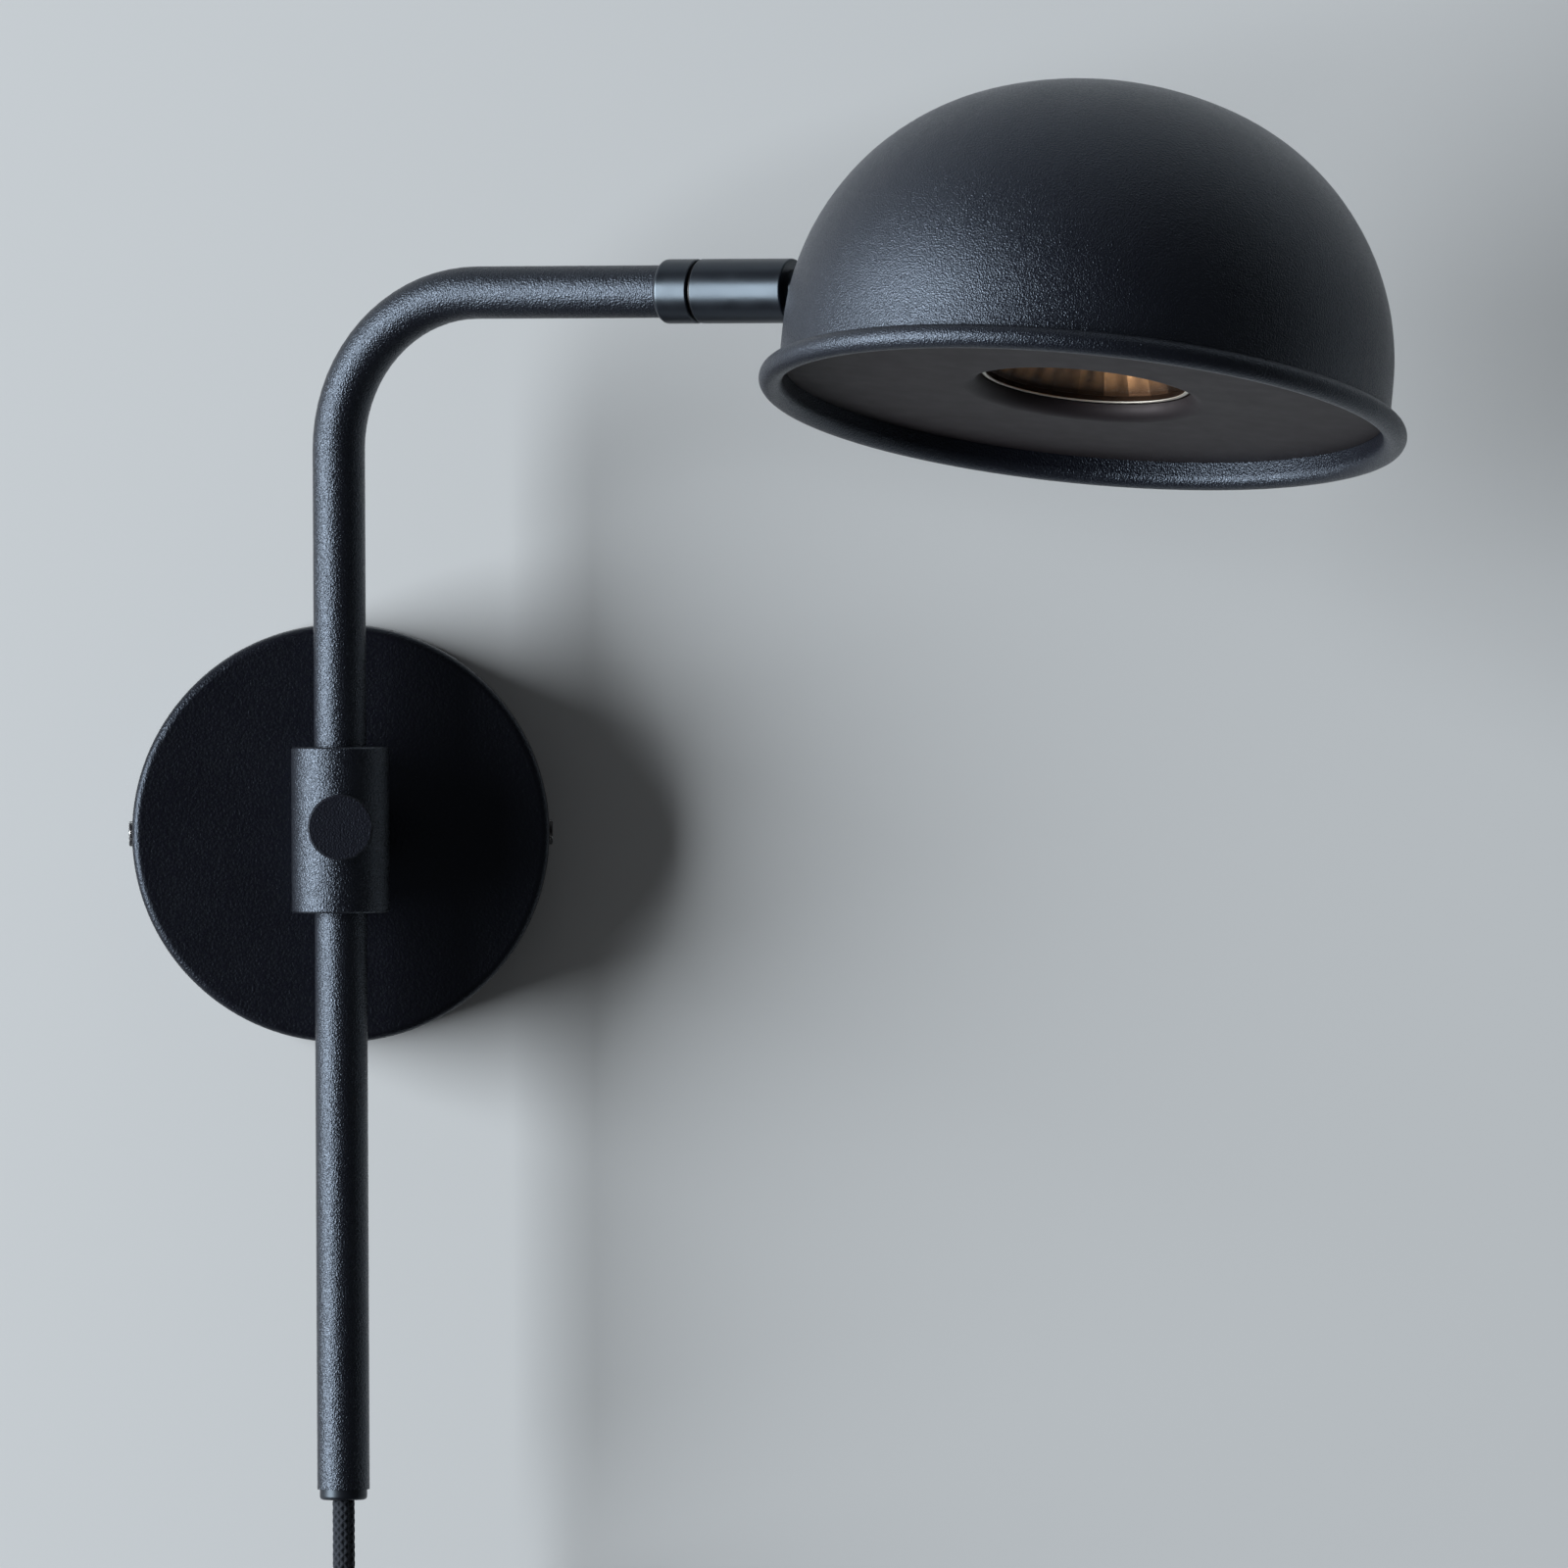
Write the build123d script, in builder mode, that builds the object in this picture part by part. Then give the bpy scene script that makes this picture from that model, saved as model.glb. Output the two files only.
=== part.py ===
"""Plug-in swing-arm wall lamp with a hemispherical shade, as separate pieces.

Millimetres. The origin is the centre of the wall bracket's back face: +X runs to the right along
the wall, +Y into the wall and +Z up, so the lamp stands out towards -Y. The lamp is modelled as it
was photographed, with its arm swung out from the wall and its shade rolled a little towards it.
"""
import math
import os

from build123d import *

os.makedirs("parts", exist_ok=True)

# ---------------------------------------------------------------- driving dimensions
# pose of the lamp as photographed
arm_swing = 27.0            # degrees that the arm is swung out from the wall
shade_roll = 13.3           # degrees that the shade's crown is rolled back towards the wall

# canopy and wall bracket
canopy_diameter = 99.0
canopy_depth = 25.0
canopy_wall = 1.2
canopy_edge_radius = 2.0
bracket_width = 15.0
bracket_thickness = 2.0
bracket_tab_length = 17.0
bracket_bend = 1.5          # inside radius of the bracket's bends
bracket_slot_spacing = 60.0
bracket_slot_width = 4.5
bracket_slot_length = 10.0
side_screw_diameter = 4.0
side_screw_head_diameter = 6.0
side_screw_head_height = 0.8
side_screw_socket = 2.5     # across the flats of the hexagonal socket
side_screw_depth = 12.5     # distance of the side screws from the wall
stiffener_diameter = 42.0
stiffener_thickness = 2.0

# clamp that holds the arm
stand_off = 41.0            # wall to the axis of the vertical tube
clamp_height = 1.2          # middle of the clamp above the canopy's centre
knob_height = 2.0           # knob's axis above the canopy's centre
sleeve_diameter = 23.2
sleeve_height = 39.2
sleeve_lip = 2.5            # height of the lips that keep the liner in
liner_wall = 1.8
liner_slit = 1.6
standoff_diameter = 14.0
clamp_screw_diameter = 6.0
clamp_screw_head_diameter = 10.0
clamp_screw_socket = 4.0
clamp_screw_spare = 1.5     # screw beyond its nut
clamp_nut_flats = 10.0
clamp_nut_height = 5.0
clamp_washer_diameter = 16.0
clamp_washer_thickness = 1.6
knob_diameter = 15.5
knob_thickness = 6.5
knob_clearance = 1.6        # sleeve to the knob's back face
knob_stud_diameter = 6.0
pad_diameter = 5.2
pad_thickness = 1.4

# arm
tube_diameter = 12.4
tube_wall = 1.0
arm_height = 128.0          # arm axis above the canopy's centre
tube_below = 154.8          # lower end of the tube below the canopy's centre
bend_radius = 37.0
end_cap_diameter = 11.2
end_cap_height = 2.5
end_cap_plug = 9.0
end_cap_lead_in = 2.5       # length of the taper at the plug's upper end
end_cap_edge_radius = 0.9
cord_diameter = 5.3
cord_grip_diameter = 8.8
cord_grip_length = 6.0

# swivel between arm and shade
swivel_diameter = 15.2
neck_shown = 9.0            # end of the barrel to the shade's wall, along the arm's axis
barrel_length = 23.8
collar_length = 9.0
collar_seat = 5.3           # depth that the tube enters the collar
collar_round = 1.3          # radius of the collar's rounded end, on the tube
swivel_gap = 0.8            # thickness of the nylon washer in the joint
barrel_web = 3.0
barrel_wall = 1.0
swivel_edge_radius = 0.4    # of the barrel's ends and of the collar's end in the joint
nipple_diameter = 8.0
nipple_bore = 5.6
nipple_reach = 9.0          # how far the nipple enters the barrel
nipple_nut_flats = 11.0
nipple_nut_height = 3.5
spring_washer_thickness = 0.6
stop_pin_diameter = 1.3
stop_pin_radius = 5.5       # of the circle on which the stop pin stands
roll_limit = 165.0          # degrees each way from an upright shade
swivel_washer_rim = 0.8     # by which the nylon washer stays inside the swivel's outline

# shade
shade_reach = 198.5         # vertical tube's axis to the shade's axis, along the arm
shade_drop = 31.3           # arm axis to the plane under the rim
shade_diameter = 143.2      # outside of the wall, without the rolled rim
shade_height = 79.4
shade_wall = 1.2
crown_radius = 87.0
shoulder_radius = 62.5
rim_radius = 2.8            # of the rolled rim's round section
rim_roll_end = 118.0        # degrees at which the rolled edge stops, short of the wall
neck_diameter = 10.0
neck_plug_length = 8.0
neck_stud_diameter = 8.0
neck_stud_reach = 13.0      # stud inside the shade, from the wall's outside
neck_bore = 5.0
saddle_diameter = 16.0
saddle_flat = 6.5           # from the shade's wall to the saddle's flat face, on the arm's axis
neck_nut_flats = 13.0
neck_nut_height = 4.0

# baffle pan, lamp and lampholder, as heights above the plane under the rim
baffle_recess = 5.9
baffle_thickness = 1.2
baffle_flange_height = 8.0
baffle_lip_radius = 3.5
baffle_hole_diameter = 50.0
clip_space = 1.6            # pan's edge to its flange, where the spring clips stand
clip_width = 9.0
clip_thickness = 0.4
clip_count = 3
lamp_diameter = 50.6
lamp_height = 46.0          # front ring to the base's shoulder
lamp_ring_width = 1.7
lamp_ring_height = 2.4
lamp_glass_thickness = 1.2
lamp_facets = 24
lamp_bowl_depth = 25.0
lamp_bowl_steps = 5         # rings of facets
lamp_shell_height = 14.0    # middle of the shell's bulge above the ring
lamp_shell_inset = 4.6      # by which the shell is narrower than the ring there
lamp_base_diameter = 21.0
lamp_base_height = 13.0
lamp_capsule_diameter = 9.0
lamp_capsule_length = 13.5
lamp_pin_spacing = 10.0
lamp_pin_diameter = 4.0
lamp_pin_shank = 2.6
lamp_pin_head_height = 2.5
lamp_pin_length = 7.0
holder_hole = 5.2           # in which a pin's head enters
holder_slot_width = 3.3     # along which its shank turns
holder_slot_length = 5.4
holder_diameter = 25.0
holder_height = 13.0
holder_screw_spacing = 17.0
holder_screw_diameter = 3.0
holder_screw_head = 5.5
holder_screw_head_height = 1.8
holder_screw_depth = 5.0
holder_lead_height = 8.5    # holder's mouth to the lead that enters it
yoke_width = 14.0
yoke_thickness = 1.5
yoke_leg = 28.5             # shade's axis to the inside of a leg
yoke_foot = 8.0
yoke_bend = 1.5
lead_diameter = 3.6
lead_run = 46.0             # shade's axis to the lead's first bend
lead_low_reach = 33.0       # shade's axis to the lead beside the lampholder
lead_low_height = 44.0
lead_entry_reach = 30.0     # shade's axis to the lead's last bend

# inline switch and plug
switch_length = 46.0
switch_width = 23.0
switch_depth = 16.0
switch_corner = 6.0
switch_edge_radius = 2.5
switch_wall = 1.6
switch_drop = 20.0          # end cap to the tip of the switch's upper strain relief
switch_screw_diameter = 2.5
switch_screw_head = 4.4
switch_screw_x = 7.0
switch_screw_z = 15.0
relief_length = 20.0        # tapered strain relief at each end of the switch
relief_inside = 4.0         # the part of it that is inside the case
relief_radius = 4.2
relief_tip_radius = 3.1
relief_flange_radius = 5.5
relief_flange_thickness = 1.6
rocker_radius = 9.0         # of the rocker's ends, about its pivot
rocker_width = 10.0
rocker_tilt = 7.0           # degrees either way from level
rocker_crest = 4.4          # pivot to the middle of the rocker's face
rocker_pivot_depth = 3.6    # below the switch's front face
rocker_pin_radius = 1.2
rocker_ear = 1.4
plug_width = 35.0
plug_thickness = 13.7
plug_length = 35.0
plug_shoulder = 20.0        # length over which the plug's body widens
plug_neck_width = 16.0
plug_neck_thickness = 11.0
plug_relief = 22.0
plug_relief_radius = 4.6
relief_grooves = 4
plug_pin_diameter = 4.0
plug_pin_length = 19.0
plug_pin_spacing = 19.0

# put-away coil
coil_outer_radius = 39.2
coil_pitch = 5.8            # between turns beside each other, and between layers
coil_turns = 3              # whole turns in each layer, apart from the one that climbs
coil_lead_in = 5.0          # straight below the switch's strain relief
coil_bend_radius = 20.0
coil_bend_turn = 65.0       # degrees from straight down to the coil's outer turn
coil_tail = 8.0             # straight between the coil and the plug's strain relief
tie_width = 8.0
tie_thickness = 0.9

# clearances
slip = 0.08                 # radial play of a shaft in its hole
seat = 0.03                 # radial play of pieces that are screwed or glued together
running = 0.3               # between faces that pass each other
assembly = 0.15             # between faces that are put side by side
edge_break = 0.4            # chamfer or radius that takes off a sharp edge

# ---------------------------------------------------------------- places worked out from them
tube_radius = tube_diameter / 2
sleeve_radius = sleeve_diameter / 2
liner_inner = tube_radius + slip
liner_outer = liner_inner + liner_wall
sleeve_bore = liner_outer + slip
sleeve_half = sleeve_height / 2
canopy_radius = canopy_diameter / 2
canopy_inner = canopy_radius - canopy_wall
tab_face = math.sqrt((canopy_inner - assembly) ** 2 - (bracket_width / 2) ** 2)

swing = math.radians(arm_swing)
roll = math.radians(shade_roll)
along = Vector(math.cos(swing), -math.sin(swing), 0)        # from the tube towards the shade
level = Vector(-math.sin(swing), -math.cos(swing), 0)       # level, square to the arm
upright = Vector(0, 0, 1)
crown = upright * math.cos(roll) - level * math.sin(roll)   # shade's axis, rim to crown
across = along.cross(crown)                                 # square to the arm, in the rim's plane

# the shade's outline: a crown arc, a shoulder arc and a straight wall, above the plane under the rim
shade_radius = shade_diameter / 2
shoulder_x = shade_radius - shoulder_radius
crown_z = shade_height - crown_radius
shoulder_z = crown_z + math.sqrt((crown_radius - shoulder_radius) ** 2 - shoulder_x ** 2)
shoulder_angle = math.atan2(shoulder_z - crown_z, shoulder_x)
rim_centre = shade_radius - shade_wall + rim_radius

# distances along the arm from the vertical tube's axis: the swivel keeps its place before the shade
wall_rise = shade_drop - shoulder_z
wall_at_arm = shade_reach - shoulder_x - math.sqrt(shoulder_radius ** 2 - wall_rise ** 2)
barrel_end = wall_at_arm - neck_shown
barrel_start = barrel_end - barrel_length
collar_end = barrel_start - swivel_gap
collar_start = collar_end - collar_length
tube_end = collar_start + collar_seat

tube_foot = Vector(0, -stand_off, 0)
arm_root = Vector(0, -stand_off, arm_height)
shade_centre = arm_root + along * shade_reach - crown * shade_drop

tube_section = Plane(origin=tube_foot, x_dir=along, z_dir=along.cross(upright))
arm_section = Plane(origin=arm_root, x_dir=along, z_dir=along.cross(upright))
arm_axis = Axis(arm_root, along)
head_section = Plane(origin=arm_root, x_dir=along, z_dir=across)
shade_section = Plane(origin=shade_centre, x_dir=along, z_dir=across)
shade_cross_section = Plane(origin=shade_centre, x_dir=across, z_dir=crown.cross(across) * -1)
shade_axis = Axis(shade_centre, crown)
tube_axis = Axis(tube_foot, upright)
clamp_axis = Axis((0, 0, clamp_height), (0, 1, 0))


def arm_plane(distance):
    """Plane square to the arm, facing the shade, at a distance along the arm; its X is up."""
    return Plane(origin=arm_root + along * distance, x_dir=upright, z_dir=along)


def head_plane(distance):
    """The same plane turned with the rolled shade, so that its X is the shade's up."""
    return Plane(origin=arm_root + along * distance, x_dir=crown, z_dir=along)


def shade_plane(height):
    """Plane square to the shade's axis, facing the crown, at a height above the rim's plane."""
    return Plane(origin=shade_centre + crown * height, x_dir=along, z_dir=crown)


def front_plane(depth, x=0.0, z=0.0):
    """Plane parallel to the wall, facing the room, at a depth in front of the wall."""
    return Plane(origin=(x, -depth, z), x_dir=(1, 0, 0), z_dir=(0, -1, 0))


def clamp_plane(depth):
    """Front plane through the clamp's axis."""
    return front_plane(depth, z=clamp_height)


def knob_plane(depth):
    """Front plane through the knob's axis."""
    return front_plane(depth, z=knob_height)


def hexagon(flats):
    """Hexagonal sketch of a nut, by the distance across its flats."""
    return RegularPolygon(radius=flats / 2, side_count=6, major_radius=False)


def cord_radii(route):
    """Radius at each corner of a cord's route, as large as the shorter of its two runs allows."""
    radii = []
    for before, corner, after in zip(route, route[1:], route[2:]):
        run_in = Vector(*corner) - Vector(*before)
        run_out = Vector(*after) - Vector(*corner)
        half_turn_angle = math.radians(run_in.get_angle(run_out) / 2)
        radii.append(0.45 * min(run_in.length, run_out.length) / math.tan(half_turn_angle))
    return radii


def save(part, name):
    """Label a finished piece and write it as its own file."""
    part.label = name
    export_step(part, f"parts/{name}.step")


# ---------------------------------------------------------------- canopy and wall bracket
with BuildPart() as wall_bracket:
    with BuildSketch(Plane.XY.offset(-bracket_width / 2)) as bracket_outline:
        with BuildLine():
            FilletPolyline(
                (-tab_face, -bracket_tab_length), (-tab_face, 0), (tab_face, 0),
                (tab_face, -bracket_tab_length), radius=bracket_bend + bracket_thickness)
            inner_tab = tab_face - bracket_thickness
            Line((tab_face, -bracket_tab_length), (inner_tab, -bracket_tab_length))
            FilletPolyline(
                (inner_tab, -bracket_tab_length), (inner_tab, -bracket_thickness),
                (-inner_tab, -bracket_thickness), (-inner_tab, -bracket_tab_length),
                radius=bracket_bend)
            Line((-inner_tab, -bracket_tab_length), (-tab_face, -bracket_tab_length))
        make_face()
    extrude(amount=bracket_width)
    with BuildSketch(front_plane(0)):
        with Locations((-bracket_slot_spacing / 2, 0), (bracket_slot_spacing / 2, 0)):
            SlotOverall(bracket_slot_length, bracket_slot_width)
    extrude(amount=bracket_thickness, mode=Mode.SUBTRACT)
    with BuildSketch(Plane.YZ.offset(-tab_face)):
        with Locations((-side_screw_depth, 0)):
            Circle(side_screw_diameter / 2 + seat)
    extrude(amount=2 * tab_face, mode=Mode.SUBTRACT)
save(wall_bracket.part, "wall_bracket")

with BuildPart() as canopy:
    with BuildSketch(front_plane(0)):
        Circle(canopy_radius)
    extrude(amount=canopy_depth)
    fillet(canopy.faces().sort_by(Axis.Y)[0].edges(), radius=canopy_edge_radius)
    offset(amount=-canopy_wall, openings=canopy.faces().sort_by(Axis.Y)[-1])
    with BuildSketch(clamp_plane(0)):
        Circle(clamp_screw_diameter / 2 + assembly)
    extrude(amount=canopy_depth, mode=Mode.SUBTRACT)
    with BuildSketch(Plane.YZ.offset(-canopy_radius)):
        with Locations((-side_screw_depth, 0)):
            Circle(side_screw_diameter / 2 + assembly)
    extrude(amount=canopy_diameter, mode=Mode.SUBTRACT)
save(canopy.part, "canopy")

with BuildPart() as canopy_side_screws:
    for side in (-1, 1):
        screw_seat = Plane(origin=(side * canopy_radius, -side_screw_depth, 0), x_dir=(0, 0, 1),
                           z_dir=(side, 0, 0))
        with BuildSketch(screw_seat):
            Circle(side_screw_head_diameter / 2)
        head = extrude(amount=side_screw_head_height)
        fillet(head.faces().sort_by(Axis.X)[-1 if side > 0 else 0].edges(), radius=edge_break)
        with BuildSketch(screw_seat.offset(side_screw_head_height)):
            hexagon(side_screw_socket)
        extrude(amount=-side_screw_head_height * 0.7, mode=Mode.SUBTRACT)
        with BuildSketch(screw_seat):
            Circle(side_screw_diameter / 2)
        extrude(amount=-(canopy_radius - tab_face + bracket_thickness + 1.0))
save(canopy_side_screws.part, "canopy_side_screws")

canopy_face = canopy_depth - canopy_wall
with BuildPart() as canopy_stiffener:
    with BuildSketch(clamp_plane(canopy_face)):
        Circle(stiffener_diameter / 2)
        Circle(clamp_screw_diameter / 2 + assembly, mode=Mode.SUBTRACT)
    extrude(amount=-stiffener_thickness)
save(canopy_stiffener.part, "canopy_stiffener")

# ---------------------------------------------------------------- clamp
with BuildPart() as clamp_sleeve:
    with BuildSketch(tube_section):
        with Locations((sleeve_radius / 2, clamp_height)):
            Rectangle(sleeve_radius, sleeve_height)
        with Locations((sleeve_bore / 2, clamp_height)):
            Rectangle(sleeve_bore, sleeve_height - 2 * sleeve_lip, mode=Mode.SUBTRACT)
        lip_bore = tube_radius + running
        with Locations((lip_bore / 2, clamp_height)):
            Rectangle(lip_bore, sleeve_height, mode=Mode.SUBTRACT)
    revolve(axis=tube_axis)
    sleeve_ends = clamp_sleeve.edges().filter_by(GeomType.CIRCLE).group_by(Axis.Z)
    outer_ends = [max(group, key=lambda edge: edge.radius) for group in (sleeve_ends[0], sleeve_ends[-1])]
    chamfer(outer_ends, length=edge_break)
    with BuildSketch(knob_plane(stand_off)):
        Circle(knob_stud_diameter / 2 + seat)
    extrude(amount=sleeve_radius, mode=Mode.SUBTRACT)
    with BuildSketch(clamp_plane(stand_off)):
        Circle(clamp_screw_diameter / 2 + seat)
    extrude(amount=-sleeve_radius, mode=Mode.SUBTRACT)
    # countersink for the clamp screw's head in the bore's back wall
    head_depth = (clamp_screw_head_diameter - clamp_screw_diameter) / 2
    head_top = sleeve_bore + slip
    head_radius = clamp_screw_head_diameter / 2 + seat
    with BuildSketch(Plane.XY.offset(clamp_height)):
        with BuildLine():
            Polyline(
                (0, -stand_off + sleeve_bore / 2), (head_radius, -stand_off + sleeve_bore / 2),
                (head_radius, -stand_off + head_top),
                (head_radius - head_depth, -stand_off + head_top + head_depth),
                (0, -stand_off + head_top + head_depth), close=True)
        make_face()
    revolve(axis=clamp_axis, mode=Mode.SUBTRACT)
save(clamp_sleeve.part, "clamp_sleeve")

with BuildPart() as clamp_standoff:
    with BuildSketch(clamp_plane(canopy_depth)):
        Circle(standoff_diameter / 2)
        Circle(clamp_screw_diameter / 2 + assembly, mode=Mode.SUBTRACT)
    extrude(amount=stand_off - canopy_depth)
    with BuildSketch(Plane(origin=(0, -stand_off, -standoff_diameter))):
        Circle(sleeve_radius)
    extrude(amount=2 * standoff_diameter, mode=Mode.SUBTRACT)
save(clamp_standoff.part, "clamp_standoff")

nut_seat = canopy_face - stiffener_thickness - clamp_washer_thickness
screw_tip = nut_seat - clamp_nut_height - clamp_screw_spare
screw_end_break = 0.6
with BuildPart() as clamp_screw:
    with BuildSketch(Plane.XY.offset(clamp_height)):
        with BuildLine():
            Polyline(
                (0, -stand_off + head_top), (clamp_screw_head_diameter / 2, -stand_off + head_top),
                (clamp_screw_diameter / 2, -stand_off + head_top + head_depth),
                (clamp_screw_diameter / 2, -screw_tip - screw_end_break),
                (clamp_screw_diameter / 2 - screw_end_break, -screw_tip),
                (0, -screw_tip), close=True)
        make_face()
    revolve(axis=clamp_axis)
    with BuildSketch(clamp_plane(stand_off - head_top)):
        hexagon(clamp_screw_socket)
    extrude(amount=-head_depth * 0.8, mode=Mode.SUBTRACT)
save(clamp_screw.part, "clamp_screw")

with BuildPart() as clamp_washer:
    with BuildSketch(clamp_plane(nut_seat)):
        Circle(clamp_washer_diameter / 2)
        Circle(clamp_screw_diameter / 2 + assembly, mode=Mode.SUBTRACT)
    extrude(amount=clamp_washer_thickness)
save(clamp_washer.part, "clamp_washer")

with BuildPart() as clamp_nut:
    with BuildSketch(clamp_plane(nut_seat)):
        hexagon(clamp_nut_flats)
        Circle(clamp_screw_diameter / 2 + seat, mode=Mode.SUBTRACT)
    extrude(amount=-clamp_nut_height)
save(clamp_nut.part, "clamp_nut")

# slit liner that turns in the sleeve and lets the tube slide; the slit faces the wall
with BuildPart() as clamp_liner:
    liner_half = sleeve_half - sleeve_lip - assembly
    with BuildSketch(Plane(origin=tube_foot + upright * (clamp_height - liner_half))):
        Circle(liner_outer)
        Circle(liner_inner, mode=Mode.SUBTRACT)
        with Locations((0, liner_outer)):
            Rectangle(liner_slit, 2 * liner_wall + 1.0, mode=Mode.SUBTRACT)
    extrude(amount=2 * liner_half)
save(clamp_liner.part, "clamp_liner")

# pressure pad, clamping screw and knob, one behind the other on the clamp's front
pad_back = stand_off + liner_outer + running
with BuildPart() as pressure_pad:
    with BuildSketch(knob_plane(pad_back)):
        Circle(pad_diameter / 2)
    extrude(amount=pad_thickness)
save(pressure_pad.part, "pressure_pad")

knob_back = stand_off + sleeve_radius + knob_clearance
knob_stud_tip = pad_back + pad_thickness + assembly / 2
with BuildPart() as knob_stud:
    with BuildSketch(knob_plane(knob_stud_tip)):
        Circle(knob_stud_diameter / 2)
    extrude(amount=knob_back + knob_thickness / 2 - knob_stud_tip)
    chamfer(knob_stud.faces().sort_by(Axis.Y)[-1].edges(), length=edge_break)
save(knob_stud.part, "knob_stud")

with BuildPart() as clamp_knob:
    with BuildSketch(knob_plane(knob_back)):
        Circle(knob_diameter / 2)
    extrude(amount=knob_thickness)
    chamfer(clamp_knob.faces().sort_by(Axis.Y)[0].edges(), length=edge_break)
    chamfer(clamp_knob.faces().sort_by(Axis.Y)[-1].edges(), length=2 * edge_break)
    with BuildSketch(knob_plane(knob_back)):
        Circle(knob_stud_diameter / 2 + seat)
    extrude(amount=knob_thickness / 2 + assembly, mode=Mode.SUBTRACT)
save(clamp_knob.part, "clamp_knob")

# ---------------------------------------------------------------- arm tube and end cap
with BuildPart() as arm_tube:
    with BuildLine(tube_section) as tube_path:
        FilletPolyline((0, -tube_below), (0, arm_height), (tube_end, arm_height), radius=bend_radius)
    with BuildSketch(Plane(origin=tube_foot - upright * tube_below)):
        Circle(tube_radius)
        Circle(tube_radius - tube_wall, mode=Mode.SUBTRACT)
    sweep(path=tube_path.wires()[0])
save(arm_tube.part, "arm_tube")

cap_top = -tube_below
cap_bottom = cap_top - end_cap_height
with BuildPart() as tube_end_cap:
    with BuildSketch(tube_section):
        with BuildLine():
            plug_radius = tube_radius - tube_wall - seat
            Polyline(
                (cord_diameter / 2 + assembly, cap_top + end_cap_plug),
                (plug_radius - 2 * edge_break, cap_top + end_cap_plug),
                (plug_radius, cap_top + end_cap_plug - end_cap_lead_in), (plug_radius, cap_top),
                (end_cap_diameter / 2, cap_top), (end_cap_diameter / 2, cap_bottom),
                (cord_diameter / 2 + assembly, cap_bottom), close=True)
        make_face()
    revolve(axis=tube_axis)
    bottom_rims = tube_end_cap.faces().sort_by(Axis.Z)[0].edges().sort_by(SortBy.RADIUS)
    fillet(bottom_rims[-1], radius=end_cap_edge_radius)
save(tube_end_cap.part, "tube_end_cap")

grip_bottom = cap_top + end_cap_plug
with BuildPart() as cord_grip:
    with BuildSketch(Plane(origin=tube_foot + upright * grip_bottom)):
        Circle(cord_grip_diameter / 2)
        Circle(cord_diameter / 2 + seat, mode=Mode.SUBTRACT)
    extrude(amount=cord_grip_length)
save(cord_grip.part, "cord_grip")

# ---------------------------------------------------------------- swivel
swivel_radius = swivel_diameter / 2
nipple_radius = nipple_diameter / 2
pin_foot = tube_end + 2 * edge_break


def swivel_rings(builder):
    """Edges round the swivel's outside, in their order along the arm."""
    rings = builder.edges().filter_by(GeomType.CIRCLE)
    return ShapeList(ring for ring in rings if abs(ring.radius - swivel_radius) < 1e-6).sort_by(arm_axis)


with BuildPart() as swivel_collar:
    with BuildSketch(arm_section):
        with BuildLine():
            Polyline(
                (collar_start, tube_radius + seat), (collar_start, swivel_radius),
                (collar_end, swivel_radius),
                (collar_end, nipple_radius + seat), (tube_end, nipple_radius + seat),
                (tube_end, tube_radius + seat), close=True)
        make_face()
    revolve(axis=arm_axis)
    outer_rings = swivel_rings(swivel_collar)
    fillet(outer_rings[0], radius=collar_round)
    fillet(swivel_rings(swivel_collar)[-1], radius=swivel_edge_radius)
    with BuildSketch(arm_plane(collar_end)):
        with Locations((stop_pin_radius, 0)):
            Circle(stop_pin_diameter / 2 + seat)
    extrude(amount=pin_foot - collar_end, mode=Mode.SUBTRACT)
save(swivel_collar.part, "swivel_collar")

nipple_end = barrel_start + nipple_reach
with BuildPart() as swivel_nipple:
    with BuildSketch(arm_plane(tube_end)):
        Circle(nipple_radius)
        Circle(nipple_bore / 2, mode=Mode.SUBTRACT)
    extrude(amount=nipple_end - tube_end)
save(swivel_nipple.part, "swivel_nipple")

groove_depth = barrel_web / 2
with BuildPart() as stop_pin:
    with BuildSketch(arm_plane(pin_foot)):
        with Locations((stop_pin_radius, 0)):
            Circle(stop_pin_diameter / 2)
    extrude(amount=barrel_start + groove_depth - running - pin_foot)
save(stop_pin.part, "stop_pin")

with BuildPart() as swivel_washer:
    with BuildSketch(arm_plane(collar_end)):
        Circle(swivel_radius - swivel_washer_rim)
        Circle(nipple_radius + seat, mode=Mode.SUBTRACT)
        with Locations((stop_pin_radius, 0)):
            Circle(stop_pin_diameter / 2 + seat, mode=Mode.SUBTRACT)
    extrude(amount=swivel_gap - slip)
save(swivel_washer.part, "swivel_washer")

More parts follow.
